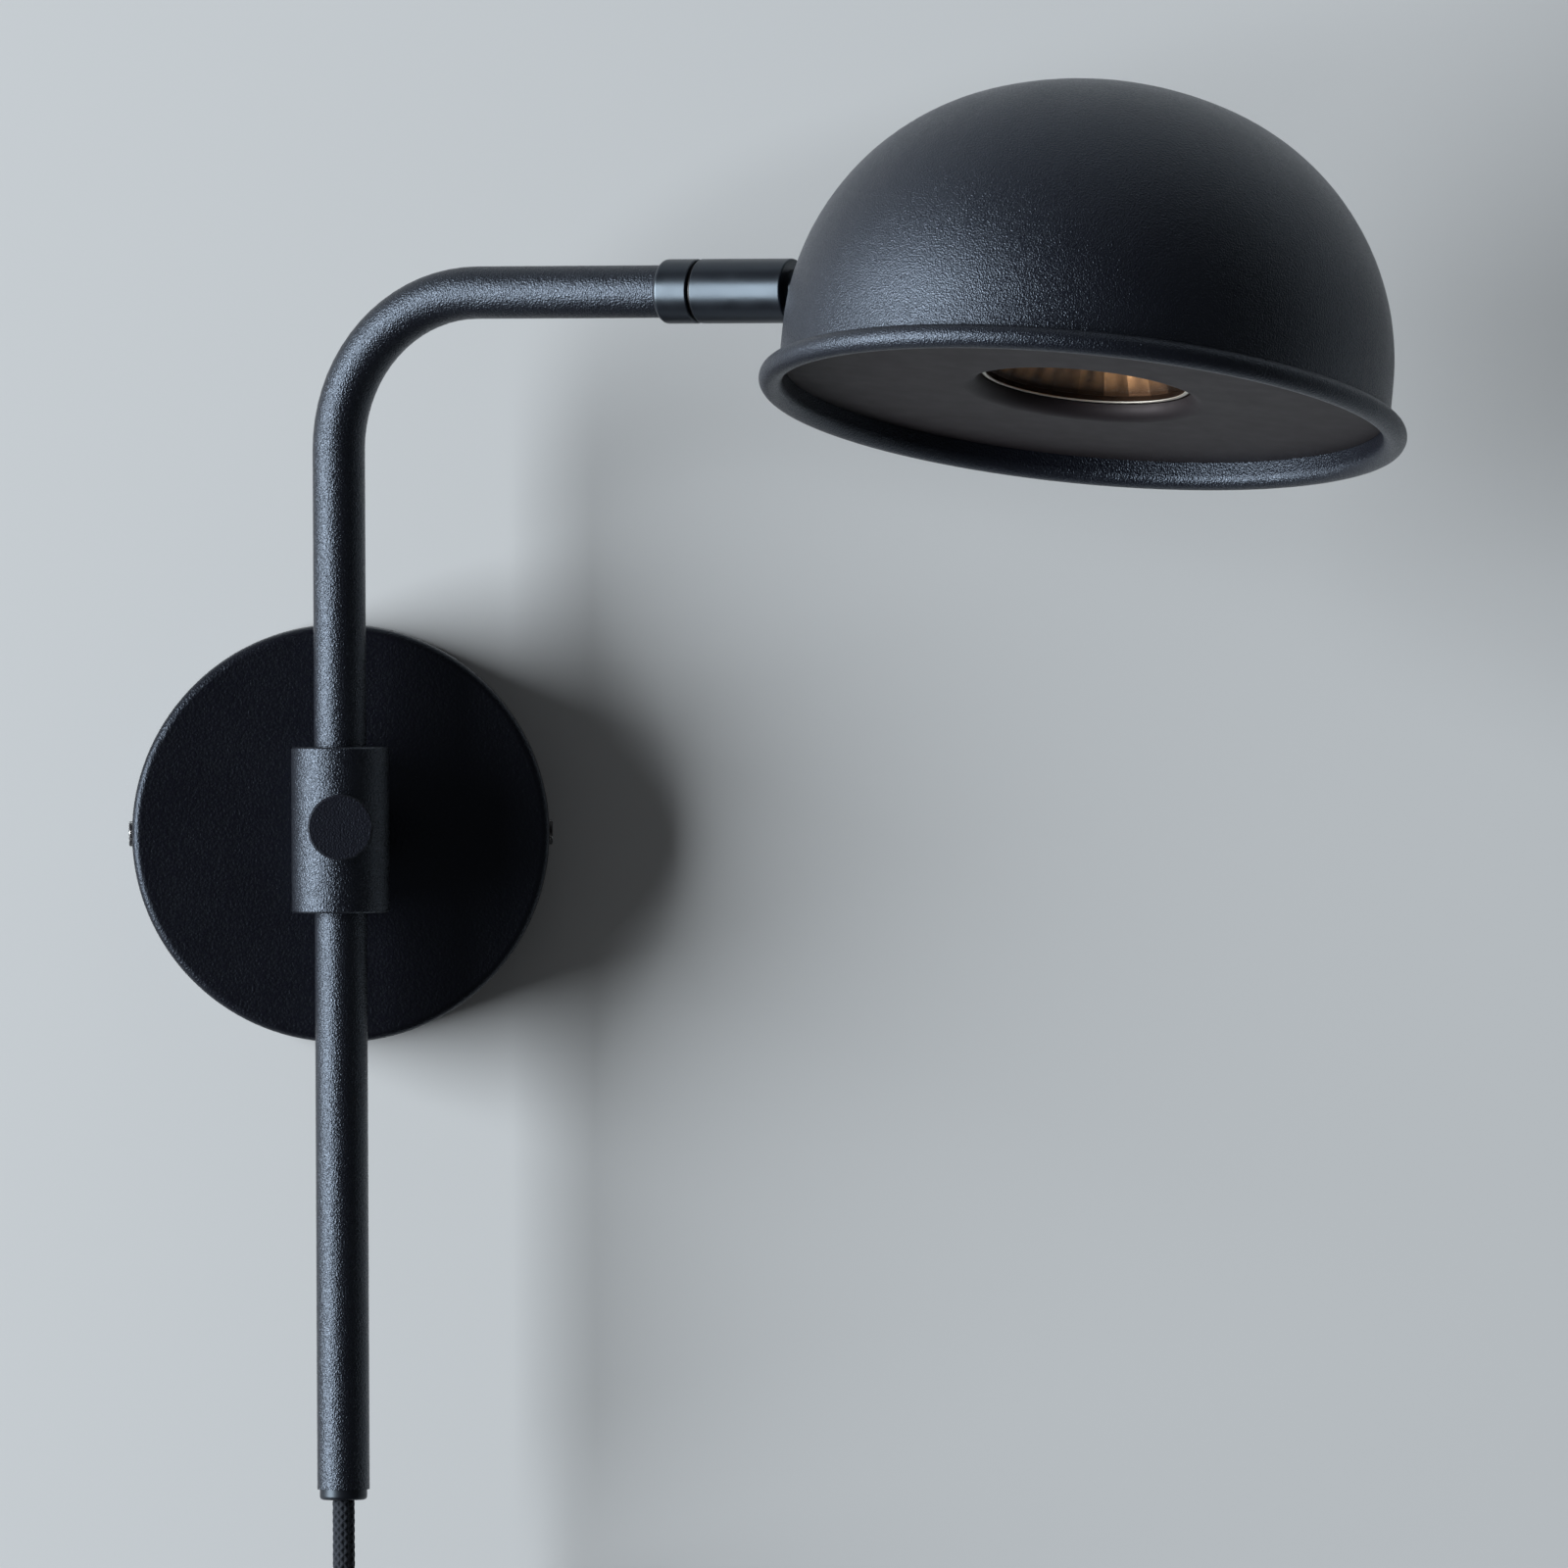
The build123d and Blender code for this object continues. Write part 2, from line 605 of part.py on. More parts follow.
barrel_bore = swivel_radius - barrel_wall
web_end = barrel_start + barrel_web
with BuildPart() as swivel_barrel:
    with BuildSketch(head_section):
        with BuildLine():
            Polyline(
                (barrel_start, nipple_radius + slip), (barrel_start, swivel_radius),
                (barrel_end, swivel_radius), (barrel_end, barrel_bore), (web_end, barrel_bore),
                (web_end, nipple_radius + slip), close=True)
        make_face()
    revolve(axis=arm_axis)
    fillet(swivel_rings(swivel_barrel), radius=swivel_edge_radius)
    # groove that the stop pin runs in, open but for a land of stop opposite the upright pin
    land = 180 - roll_limit - math.degrees(stop_pin_diameter / 2 / stop_pin_radius)
    land_reach = 2 * stop_pin_radius
    groove_half = stop_pin_diameter / 2 + running / 2
    with BuildSketch(head_plane(barrel_start)):
        Circle(stop_pin_radius + groove_half)
        Circle(stop_pin_radius - groove_half, mode=Mode.SUBTRACT)
        with BuildLine(mode=Mode.PRIVATE) as land_outline:
            land_half = math.radians(land)
            Polyline(
                (0, 0), (-land_reach * math.cos(land_half), land_reach * math.sin(land_half)),
                (-land_reach * math.cos(land_half), -land_reach * math.sin(land_half)), close=True)
        make_face(land_outline.edges(), mode=Mode.SUBTRACT)
    extrude(amount=groove_depth, mode=Mode.SUBTRACT)
save(swivel_barrel.part, "swivel_barrel")

with BuildPart() as spring_washer:
    with BuildSketch(arm_plane(web_end + slip)):
        Circle(barrel_bore - running)
        Circle(nipple_radius + seat, mode=Mode.SUBTRACT)
    extrude(amount=spring_washer_thickness)
save(spring_washer.part, "spring_washer")

with BuildPart() as nipple_nut:
    with BuildSketch(arm_plane(web_end + slip + spring_washer_thickness)):
        hexagon(nipple_nut_flats)
        Circle(nipple_radius + seat, mode=Mode.SUBTRACT)
    extrude(amount=nipple_nut_height)
save(nipple_nut.part, "nipple_nut")

# ---------------------------------------------------------------- shade


def dome_point(radius_change, angle, crown_arc):
    """Point of the dome's crown or shoulder arc, moved out of its surface by radius_change."""
    if crown_arc:
        reach = crown_radius + radius_change
        return (reach * math.cos(angle), crown_z + reach * math.sin(angle))
    reach = shoulder_radius + radius_change
    return (shoulder_x + reach * math.cos(angle), shoulder_z + reach * math.sin(angle))


def rim_point(radius, degrees):
    """Point of the rolled rim's section, on a circle about its centre."""
    angle = math.radians(degrees)
    return (rim_centre + radius * math.cos(angle), rim_radius + radius * math.sin(angle))


def dome_arcs(radius_change):
    """Crown and shoulder arcs of the dome, from its top to the straight wall."""
    crown_middle = (math.pi / 2 + shoulder_angle) / 2
    ThreePointArc(dome_point(radius_change, math.pi / 2, True), dome_point(radius_change, crown_middle, True),
                  dome_point(radius_change, shoulder_angle, True))
    ThreePointArc(dome_point(radius_change, shoulder_angle, False),
                  dome_point(radius_change, shoulder_angle / 2, False), dome_point(radius_change, 0, False))


with BuildPart() as dome_outside:
    with BuildSketch(shade_section):
        with BuildLine():
            dome_arcs(0)
            Line((shade_radius, shoulder_z), (shade_radius, 0))
            Line((shade_radius, 0), (0, 0))
            Line((0, 0), (0, shade_height))
        make_face()
    revolve(axis=shade_axis)

with BuildPart() as dome_inside:
    with BuildSketch(shade_section):
        with BuildLine():
            dome_arcs(-shade_wall)
            Line((shade_radius - shade_wall, shoulder_z), (shade_radius - shade_wall, 0))
            Line((shade_radius - shade_wall, 0), (0, 0))
            Line((0, 0), (0, shade_height - shade_wall))
        make_face()
    revolve(axis=shade_axis)

# the sheet runs down the wall, then rolls outwards and back up into a round rim
with BuildPart() as shade:
    rolled_inside = rim_radius - shade_wall
    with BuildSketch(shade_section):
        with BuildLine():
            dome_arcs(0)
            Line((shade_radius, shoulder_z), (shade_radius, rim_radius))
            ThreePointArc(rim_point(rolled_inside, 180), rim_point(rolled_inside, 250),
                          rim_point(rolled_inside, 320))
            ThreePointArc(rim_point(rolled_inside, 320), rim_point(rolled_inside, 39),
                          rim_point(rolled_inside, rim_roll_end))
            Line(rim_point(rolled_inside, rim_roll_end), rim_point(rim_radius, rim_roll_end))
            ThreePointArc(rim_point(rim_radius, rim_roll_end), rim_point(rim_radius, 39),
                          rim_point(rim_radius, 320))
            ThreePointArc(rim_point(rim_radius, 320), rim_point(rim_radius, 250), rim_point(rim_radius, 180))
            Line((shade_radius - shade_wall, rim_radius), (shade_radius - shade_wall, shoulder_z))
            dome_arcs(-shade_wall)
            Line((0, shade_height - shade_wall), (0, shade_height))
        make_face()
    revolve(axis=shade_axis)
    with BuildSketch(head_plane(barrel_end)):
        Circle(neck_stud_diameter / 2 + assembly)
    extrude(amount=shade_reach - barrel_end, mode=Mode.SUBTRACT)
save(shade.part, "shade")

# neck: plug in the barrel, round neck whose end is cut to sit on the dome, hollow stud through it
stud_end = wall_at_arm + neck_stud_reach
with BuildPart() as shade_neck:
    with BuildSketch(head_plane(barrel_end)):
        Circle(neck_diameter / 2)
    extrude(amount=wall_at_arm - barrel_end + neck_diameter / 2)
    add(dome_outside.part, mode=Mode.SUBTRACT)
    with BuildSketch(head_plane(barrel_end - neck_plug_length)):
        Circle(barrel_bore - seat)
    extrude(amount=neck_plug_length)
    with BuildSketch(head_plane(barrel_end)):
        Circle(neck_stud_diameter / 2)
    extrude(amount=stud_end - barrel_end)
    with BuildSketch(head_plane(barrel_end - neck_plug_length)):
        Circle(neck_bore / 2)
    extrude(amount=stud_end - barrel_end + neck_plug_length, mode=Mode.SUBTRACT)
save(shade_neck.part, "shade_neck")

saddle_face = wall_at_arm + saddle_flat
with BuildPart() as saddle_washer:
    with BuildSketch(head_plane(saddle_face)):
        Circle(saddle_diameter / 2)
    extrude(amount=-2 * saddle_flat)
    add(dome_inside.part, mode=Mode.INTERSECT)
    with BuildSketch(head_plane(saddle_face)):
        Circle(neck_stud_diameter / 2 + seat)
    extrude(amount=-2 * saddle_flat, mode=Mode.SUBTRACT)
save(saddle_washer.part, "saddle_washer")

with BuildPart() as neck_nut:
    with BuildSketch(head_plane(saddle_face)):
        hexagon(neck_nut_flats)
        Circle(neck_stud_diameter / 2 + seat, mode=Mode.SUBTRACT)
    extrude(amount=neck_nut_height)
save(neck_nut.part, "neck_nut")

# ---------------------------------------------------------------- baffle pan and its clips
hole_radius = baffle_hole_diameter / 2
lip_centre = hole_radius + baffle_lip_radius
lip_top = baffle_recess + baffle_lip_radius
pan_radius = shade_radius - shade_wall - assembly
flange_outer = pan_radius - clip_space
pan_back = baffle_recess + baffle_thickness
flange_top = pan_back + baffle_flange_height
with BuildPart() as baffle_pan:
    with BuildSketch(shade_section):
        with BuildLine():
            half = math.sqrt(0.5)
            ThreePointArc((lip_centre, baffle_recess),
                          (lip_centre - baffle_lip_radius * half, lip_top - baffle_lip_radius * half),
                          (hole_radius, lip_top))
            Line((hole_radius, lip_top), (hole_radius + baffle_thickness, lip_top))
            back_radius = baffle_lip_radius - baffle_thickness
            ThreePointArc((hole_radius + baffle_thickness, lip_top),
                          (lip_centre - back_radius * half, lip_top - back_radius * half),
                          (lip_centre, pan_back))
            Polyline(
                (lip_centre, pan_back), (flange_outer - baffle_thickness, pan_back),
                (flange_outer - baffle_thickness, flange_top), (flange_outer, flange_top),
                (flange_outer, pan_back), (pan_radius, pan_back), (pan_radius, baffle_recess),
                (lip_centre, baffle_recess))
        make_face()
    revolve(axis=shade_axis)
save(baffle_pan.part, "baffle_pan")

# bow springs between the pan's flange and the shade's wall
clip_height = baffle_flange_height - 1.0
with BuildPart() as baffle_clips:
    clip_gap = pan_radius - flange_outer - clip_thickness
    clip_foot = pan_back + 0.5
    for index in range(clip_count):
        turn = math.radians(360 / clip_count * (index + 0.5))
        outward = along * math.cos(turn) + across * math.sin(turn)
        clip_section = Plane(origin=shade_centre, x_dir=outward, z_dir=outward.cross(crown))
        with BuildSketch(clip_section.offset(-clip_width / 2)):
            with BuildLine():
                rise = clip_height - 1.0
                sag = flange_outer - math.sqrt(flange_outer ** 2 - (clip_width / 2) ** 2)
                inner = flange_outer + 0.02
                crest = inner + clip_gap - sag - 0.05
                ThreePointArc((inner, clip_foot), (crest, clip_foot + rise / 2), (inner, clip_foot + rise))
                Line((inner, clip_foot + rise), (inner + clip_thickness, clip_foot + rise))
                outer = inner + clip_thickness
                ThreePointArc((outer, clip_foot + rise), (crest + clip_thickness, clip_foot + rise / 2),
                              (outer, clip_foot))
                Line((outer, clip_foot), (inner, clip_foot))
            make_face()
        extrude(amount=clip_width)
save(baffle_clips.part, "baffle_clips")

# ---------------------------------------------------------------- lamp
lamp_front = lip_top + assembly
lamp_radius = lamp_diameter / 2
ring_top = lamp_front + lamp_ring_height
base_shoulder = lamp_front + lamp_height
bowl_mouth = lamp_radius - lamp_ring_width
glass_front = lamp_front + assembly
bowl_start = glass_front + lamp_glass_thickness + assembly
bowl_floor = bowl_start + lamp_bowl_depth
base_radius = lamp_base_diameter / 2
base_foot = base_shoulder - lamp_base_height
with BuildPart() as lamp_reflector:
    with BuildSketch(shade_section):
        with BuildLine():
            Line((0, lamp_front), (lamp_radius, lamp_front))
            Line((lamp_radius, lamp_front), (lamp_radius, ring_top))
            ThreePointArc(
                (lamp_radius, ring_top), (lamp_radius - lamp_shell_inset, ring_top + lamp_shell_height),
                (base_radius, base_foot))
            Line((base_radius, base_foot), (0, base_foot))
            Line((0, base_foot), (0, lamp_front))
        make_face()
    revolve(axis=shade_axis)
    # faceted bowl: flat-sided rings, each a step deeper and narrower
    with BuildSketch(shade_plane(lamp_front)):
        Circle(bowl_mouth)
    extrude(amount=bowl_start - lamp_front, mode=Mode.SUBTRACT)
    for step in range(lamp_bowl_steps):
        low, high = step / lamp_bowl_steps, (step + 1) / lamp_bowl_steps
        for share in (low, high):
            with BuildSketch(shade_plane(bowl_start + lamp_bowl_depth * share)):
                RegularPolygon(radius=bowl_mouth * math.sqrt(1 - 0.9 * share), side_count=lamp_facets)
        loft(ruled=True, mode=Mode.SUBTRACT)
save(lamp_reflector.part, "lamp_reflector")

with BuildPart() as lamp_glass:
    with BuildSketch(shade_plane(glass_front)):
        Circle(bowl_mouth - seat)
    extrude(amount=lamp_glass_thickness)
save(lamp_glass.part, "lamp_glass")

with BuildPart() as lamp_capsule:
    capsule_radius = lamp_capsule_diameter / 2
    capsule_tip = bowl_floor - lamp_capsule_length
    tip_centre = capsule_tip + capsule_radius
    tip_slope = capsule_radius * math.sqrt(0.5)
    with BuildSketch(shade_section):
        with BuildLine():
            Polyline(
                (0, capsule_tip), (0, bowl_floor), (capsule_radius, bowl_floor), (capsule_radius, tip_centre))
            ThreePointArc((capsule_radius, tip_centre), (tip_slope, tip_centre - tip_slope), (0, capsule_tip))
        make_face()
    revolve(axis=shade_axis)
save(lamp_capsule.part, "lamp_capsule")

with BuildPart() as lamp_base:
    with BuildSketch(shade_plane(base_foot)):
        Circle(base_radius)
    extrude(amount=lamp_base_height)
    chamfer(lamp_base.edges().filter_by(GeomType.CIRCLE), length=edge_break)
save(lamp_base.part, "lamp_base")

pin_neck = lamp_pin_length - lamp_pin_head_height
with BuildPart() as lamp_pins:
    for side in (-1, 1):
        with BuildSketch(shade_plane(base_shoulder)):
            with Locations((side * lamp_pin_spacing / 2, 0)):
                Circle(lamp_pin_shank / 2)
        extrude(amount=pin_neck)
        with BuildSketch(shade_plane(base_shoulder + pin_neck)):
            with Locations((side * lamp_pin_spacing / 2, 0)):
                Circle(lamp_pin_diameter / 2)
        extrude(amount=lamp_pin_length - pin_neck)
save(lamp_pins.part, "lamp_pins")

holder_bottom = base_shoulder + assembly
holder_top = holder_bottom + holder_height
holder_screw_spots = [(0, -holder_screw_spacing / 2), (0, holder_screw_spacing / 2)]
with BuildPart() as lampholder:
    with BuildSketch(shade_plane(holder_bottom)):
        Circle(holder_diameter / 2)
    extrude(amount=holder_height)
    chamfer(lampholder.faces().sort_by(shade_axis)[-1].edges(), length=2 * edge_break)
    with BuildSketch(shade_plane(holder_bottom)):
        for side in (-1, 1):
            with Locations((side * lamp_pin_spacing / 2, 0)):
                Circle(holder_hole / 2)
            with Locations((side * lamp_pin_spacing / 2, side * holder_slot_length / 3)):
                Rectangle(holder_slot_width, holder_slot_length)
    extrude(amount=lamp_pin_length + running, mode=Mode.SUBTRACT)
    with BuildSketch(shade_plane(holder_top)):
        with Locations(*holder_screw_spots):
            Circle(holder_screw_diameter / 2 + seat)
    extrude(amount=-holder_screw_depth - 1.0, mode=Mode.SUBTRACT)
save(lampholder.part, "lampholder")

# inverted U strap that stands on the pan and carries the lampholder
yoke_top = holder_top + yoke_thickness
with BuildPart() as lamp_yoke:
    with BuildSketch(shade_cross_section.offset(-yoke_width / 2)):
        with BuildLine():
            leg_out = yoke_leg + yoke_thickness
            foot_out = leg_out + yoke_foot
            FilletPolyline(
                (-foot_out, pan_back), (-yoke_leg, pan_back), (-yoke_leg, holder_top), (yoke_leg, holder_top),
                (yoke_leg, pan_back), (foot_out, pan_back), radius=yoke_bend)
            foot_top = pan_back + yoke_thickness
            Line((foot_out, pan_back), (foot_out, foot_top))
            FilletPolyline(
                (foot_out, foot_top), (leg_out, foot_top), (leg_out, yoke_top), (-leg_out, yoke_top),
                (-leg_out, foot_top), (-foot_out, foot_top), radius=yoke_bend)
            Line((-foot_out, foot_top), (-foot_out, pan_back))
        make_face()
    extrude(amount=yoke_width)
    with BuildSketch(shade_plane(yoke_top)):
        with Locations(*holder_screw_spots):
            Circle(holder_screw_diameter / 2 + assembly)
    extrude(amount=-yoke_thickness, mode=Mode.SUBTRACT)
save(lamp_yoke.part, "lamp_yoke")

with BuildPart() as holder_screws:
    with BuildSketch(shade_plane(yoke_top)):
        with Locations(*holder_screw_spots):
            Circle(holder_screw_head / 2)
    extrude(amount=holder_screw_head_height)
    with BuildSketch(shade_plane(yoke_top)):
        with Locations(*holder_screw_spots):
            Circle(holder_screw_diameter / 2)
    extrude(amount=-yoke_thickness - holder_screw_depth)
save(holder_screws.part, "holder_screws")

# ---------------------------------------------------------------- leads inside the arm and the shade
with BuildPart() as arm_lead:
    with BuildLine(tube_section) as arm_lead_path:
        FilletPolyline((0, cap_bottom), (0, arm_height), (tube_end - 1.0, arm_height), radius=bend_radius)
    with BuildSketch(Plane(origin=tube_foot + upright * cap_bottom)):
        Circle(cord_diameter / 2)
    sweep(path=arm_lead_path.wires()[0])
save(arm_lead.part, "arm_lead")

with BuildPart() as nipple_lead:
    with BuildSketch(arm_plane(tube_end - 1.0)):
        Circle(lead_diameter / 2)
    extrude(amount=nipple_end - tube_end + 1.0)
save(nipple_lead.part, "nipple_lead")

holder_entry = holder_bottom + holder_lead_height
lead_start = nipple_end + running - shade_reach
head_route = [
    (lead_start, shade_drop), (-lead_run, shade_drop), (-lead_low_reach, lead_low_height),
    (-lead_entry_reach, holder_entry),
    (-holder_diameter / 2, holder_entry)]
head_radii = cord_radii(head_route)
with BuildPart() as head_lead:
    with BuildLine(shade_section) as head_lead_path:
        FilletPolyline(*head_route, radius=head_radii)
    with BuildSketch(head_plane(nipple_end + running)):
        Circle(lead_diameter / 2)
    sweep(path=head_lead_path.wires()[0])
save(head_lead.part, "head_lead")

# ---------------------------------------------------------------- inline switch
relief_shown = relief_length - relief_inside
switch_top = cap_bottom - switch_drop - relief_shown
switch_middle = switch_top - switch_length / 2
switch_bottom = switch_top - switch_length
half_depth = switch_depth / 2
pivot_depth = stand_off + half_depth - rocker_pivot_depth
lead_bore = cord_diameter / 2 + seat
front_half = front_plane(stand_off, z=switch_middle)
pillar_spots = [(switch_screw_x, switch_screw_z), (-switch_screw_x, -switch_screw_z)]
pillar_radius = switch_screw_diameter / 2 + 1.4
pillar_gap = 0.1

with BuildPart() as switch_front:
    with BuildSketch(front_half):
        RectangleRounded(switch_width, switch_length, switch_corner)
    extrude(amount=half_depth)
    fillet(switch_front.faces().sort_by(Axis.Y)[0].edges(), radius=switch_edge_radius)
    offset(amount=-switch_wall, openings=switch_front.faces().sort_by(Axis.Y)[-1])
    with BuildSketch(front_half.offset(pillar_gap)):
        with Locations(*pillar_spots):
            Circle(pillar_radius)
    extrude(amount=half_depth - switch_wall - pillar_gap)
    with BuildSketch(front_half):
        with Locations(*pillar_spots):
            Circle(switch_screw_diameter / 2 + seat)
    extrude(amount=half_depth - switch_wall - 1.0, mode=Mode.SUBTRACT)
    with BuildSketch(Plane.XY.offset(switch_bottom)):
        with Locations((0, -stand_off)):
            Circle(relief_radius + seat)
    extrude(amount=switch_length, mode=Mode.SUBTRACT)
    window_plate = rocker_pivot_depth - switch_wall
    window_half = math.sqrt(rocker_radius ** 2 - window_plate ** 2) + running
    with BuildSketch(front_half):
        Rectangle(rocker_width + 2 * running, 2 * window_half)
    extrude(amount=half_depth, mode=Mode.SUBTRACT)
    # ears beside the window, in which the rocker's pins turn
    ear_radius = rocker_pin_radius + 1.4
    ear_reach = rocker_pivot_depth - switch_wall + 0.6
    for side in (-1, 1):
        ear_middle = side * (rocker_width / 2 + running + rocker_ear / 2)
        with BuildSketch(Plane.YZ.offset(ear_middle)):
            with Locations((-pivot_depth, switch_middle)):
                Circle(ear_radius)
            with Locations((-pivot_depth - ear_reach / 2, switch_middle)):
                Rectangle(ear_reach, 2 * ear_radius)
        extrude(amount=rocker_ear / 2, both=True)
    with BuildSketch(Plane.YZ):
        with Locations((-pivot_depth, switch_middle)):
            Circle(rocker_pin_radius + slip)
    extrude(amount=rocker_width / 2 + running + rocker_ear, both=True, mode=Mode.SUBTRACT)
save(switch_front.part, "switch_front")

rear_half = Plane(origin=(0, -stand_off, switch_middle), x_dir=(1, 0, 0), z_dir=(0, 1, 0))
rear_spots = [(x, -z) for x, z in pillar_spots]
with BuildPart() as switch_rear:
    with BuildSketch(rear_half):
        RectangleRounded(switch_width, switch_length, switch_corner)
    extrude(amount=half_depth)
    fillet(switch_rear.faces().sort_by(Axis.Y)[-1].edges(), radius=switch_edge_radius)
    offset(amount=-switch_wall, openings=switch_rear.faces().sort_by(Axis.Y)[0])
    with BuildSketch(rear_half.offset(pillar_gap)):
        with Locations(*rear_spots):
            Circle(pillar_radius)
    extrude(amount=half_depth - switch_wall - pillar_gap)
    with BuildSketch(rear_half):
        with Locations(*rear_spots):
            Circle(switch_screw_diameter / 2 + assembly)
    extrude(amount=half_depth, mode=Mode.SUBTRACT)
    with BuildSketch(rear_half.offset(half_depth)):
        with Locations(*rear_spots):
            Circle(switch_screw_head / 2 + assembly)
    extrude(amount=-switch_screw_head / 2, mode=Mode.SUBTRACT)
    with BuildSketch(Plane.XY.offset(switch_bottom)):
        with Locations((0, -stand_off)):
            Circle(relief_radius + seat)
    extrude(amount=switch_length, mode=Mode.SUBTRACT)
save(switch_rear.part, "switch_rear")

head_seat = half_depth - switch_screw_head / 2
with BuildPart() as switch_screws:
    with BuildSketch(rear_half.offset(head_seat)):
        with Locations(*rear_spots):
            Circle(switch_screw_head / 2)
    extrude(amount=1.6)
    with BuildSketch(rear_half.offset(head_seat)):
        with Locations(*rear_spots):
            Circle(switch_screw_diameter / 2)
    extrude(amount=-head_seat - 4.0)
save(switch_screws.part, "switch_screws")

# the rocker's ends are round about its pivot, and its two flats meet in a shallow valley
rocker_lean = math.radians(rocker_tilt)
rocker_section = Plane(origin=(0, -pivot_depth, switch_middle), z_dir=(1, 0, 0),
                       x_dir=(0, -math.sin(rocker_lean), math.cos(rocker_lean)))
rocker_rise = 8.0 * math.tan(math.radians(rocker_tilt))
rocker_end_height = rocker_crest + rocker_rise
rocker_end = math.sqrt(rocker_radius ** 2 - rocker_end_height ** 2)
rocker_skirt = -1.0
rocker_skirt_end = math.sqrt(rocker_radius ** 2 - rocker_skirt ** 2)
with BuildPart() as switch_rocker:
    with BuildSketch(rocker_section):
        with BuildLine():
            Polyline((-rocker_end, rocker_end_height), (0, rocker_crest), (rocker_end, rocker_end_height))
            ThreePointArc((rocker_end, rocker_end_height),
                          (rocker_radius * math.cos(0.3), rocker_radius * math.sin(0.3)),
                          (rocker_skirt_end, rocker_skirt))
            Line((rocker_skirt_end, rocker_skirt), (-rocker_skirt_end, rocker_skirt))
            ThreePointArc((-rocker_skirt_end, rocker_skirt),
                          (-rocker_radius * math.cos(0.3), rocker_radius * math.sin(0.3)),
                          (-rocker_end, rocker_end_height))
        make_face()
    extrude(amount=rocker_width / 2, both=True)
    with BuildSketch(rocker_section):
        Circle(rocker_pin_radius)
    extrude(amount=rocker_width / 2 + running + rocker_ear, both=True)
save(switch_rocker.part, "switch_rocker")

# grooved, tapered strain reliefs, held in the case by their flanges
with BuildPart() as switch_reliefs:
    for end in (-1, 1):
        case_face = switch_middle + end * switch_length / 2
        relief_plane = Plane(origin=(0, -stand_off, case_face), x_dir=(1, 0, 0), z_dir=(0, 0, end))
        with BuildSketch(relief_plane.offset(-relief_inside)):
            Circle(relief_radius)
        with BuildSketch(relief_plane):
            Circle(relief_radius)
        loft()
        with BuildSketch(relief_plane):
            Circle(relief_radius)
        with BuildSketch(relief_plane.offset(relief_shown)):
            Circle(relief_tip_radius)
        loft()
        with BuildSketch(relief_plane.offset(-relief_inside)):
            Circle(relief_flange_radius)
        extrude(amount=relief_flange_thickness)
        for groove in range(relief_grooves):
            height = relief_shown * (groove + 1) / (relief_grooves + 1.5)
            local_radius = relief_radius - (relief_radius - relief_tip_radius) * height / relief_shown
            with BuildSketch(relief_plane.offset(height)):
                Circle(relief_radius)
                Circle(local_radius - 0.4, mode=Mode.SUBTRACT)
            extrude(amount=1.2, mode=Mode.SUBTRACT)
        with BuildSketch(relief_plane.offset(-relief_inside)):
            Circle(lead_bore)
        extrude(amount=relief_length, mode=Mode.SUBTRACT)
save(switch_reliefs.part, "switch_reliefs")

lead_inside = relief_inside + 1.0
with BuildPart() as cord_lead:
    with BuildSketch(Plane(origin=(0, -stand_off, cap_bottom))):
        Circle(cord_diameter / 2)
    extrude(amount=-(cap_bottom - switch_top + lead_inside))
save(cord_lead.part, "cord_lead")

# ---------------------------------------------------------------- put-away coil, tie and plug
bend_start = switch_bottom - relief_shown - coil_lead_in
turn_in = math.radians(coil_bend_turn)
merge_x = coil_bend_radius * (1 - math.cos(turn_in))
merge_z = bend_start - coil_bend_radius * math.sin(turn_in)
entry_radius = coil_outer_radius + coil_pitch / 4
coil_x = merge_x - entry_radius * math.cos(turn_in) + coil_pitch / 4
coil_z = merge_z - entry_radius * math.sin(turn_in)
inner_right = coil_outer_radius - coil_turns * coil_pitch
inner_left = inner_right - coil_pitch / 2
back_right = inner_right + coil_pitch / 2
end_right = back_right + coil_turns * coil_pitch
tail_end = coil_z - coil_tail - plug_relief


def coil_point(x, layer):
    """Point on the level line through the coil's centre, in one of its two layers."""
    return Vector(coil_x + x, -stand_off + layer * coil_pitch, coil_z)


def half_turn(start, end, below):
    """Half a turn of the coil between two points of that line, below or above it."""
    depth = (end - start).length / 2
    middle = (start + end) * 0.5 + Vector(0, 0, -depth if below else depth)
    ThreePointArc(start, middle, end)


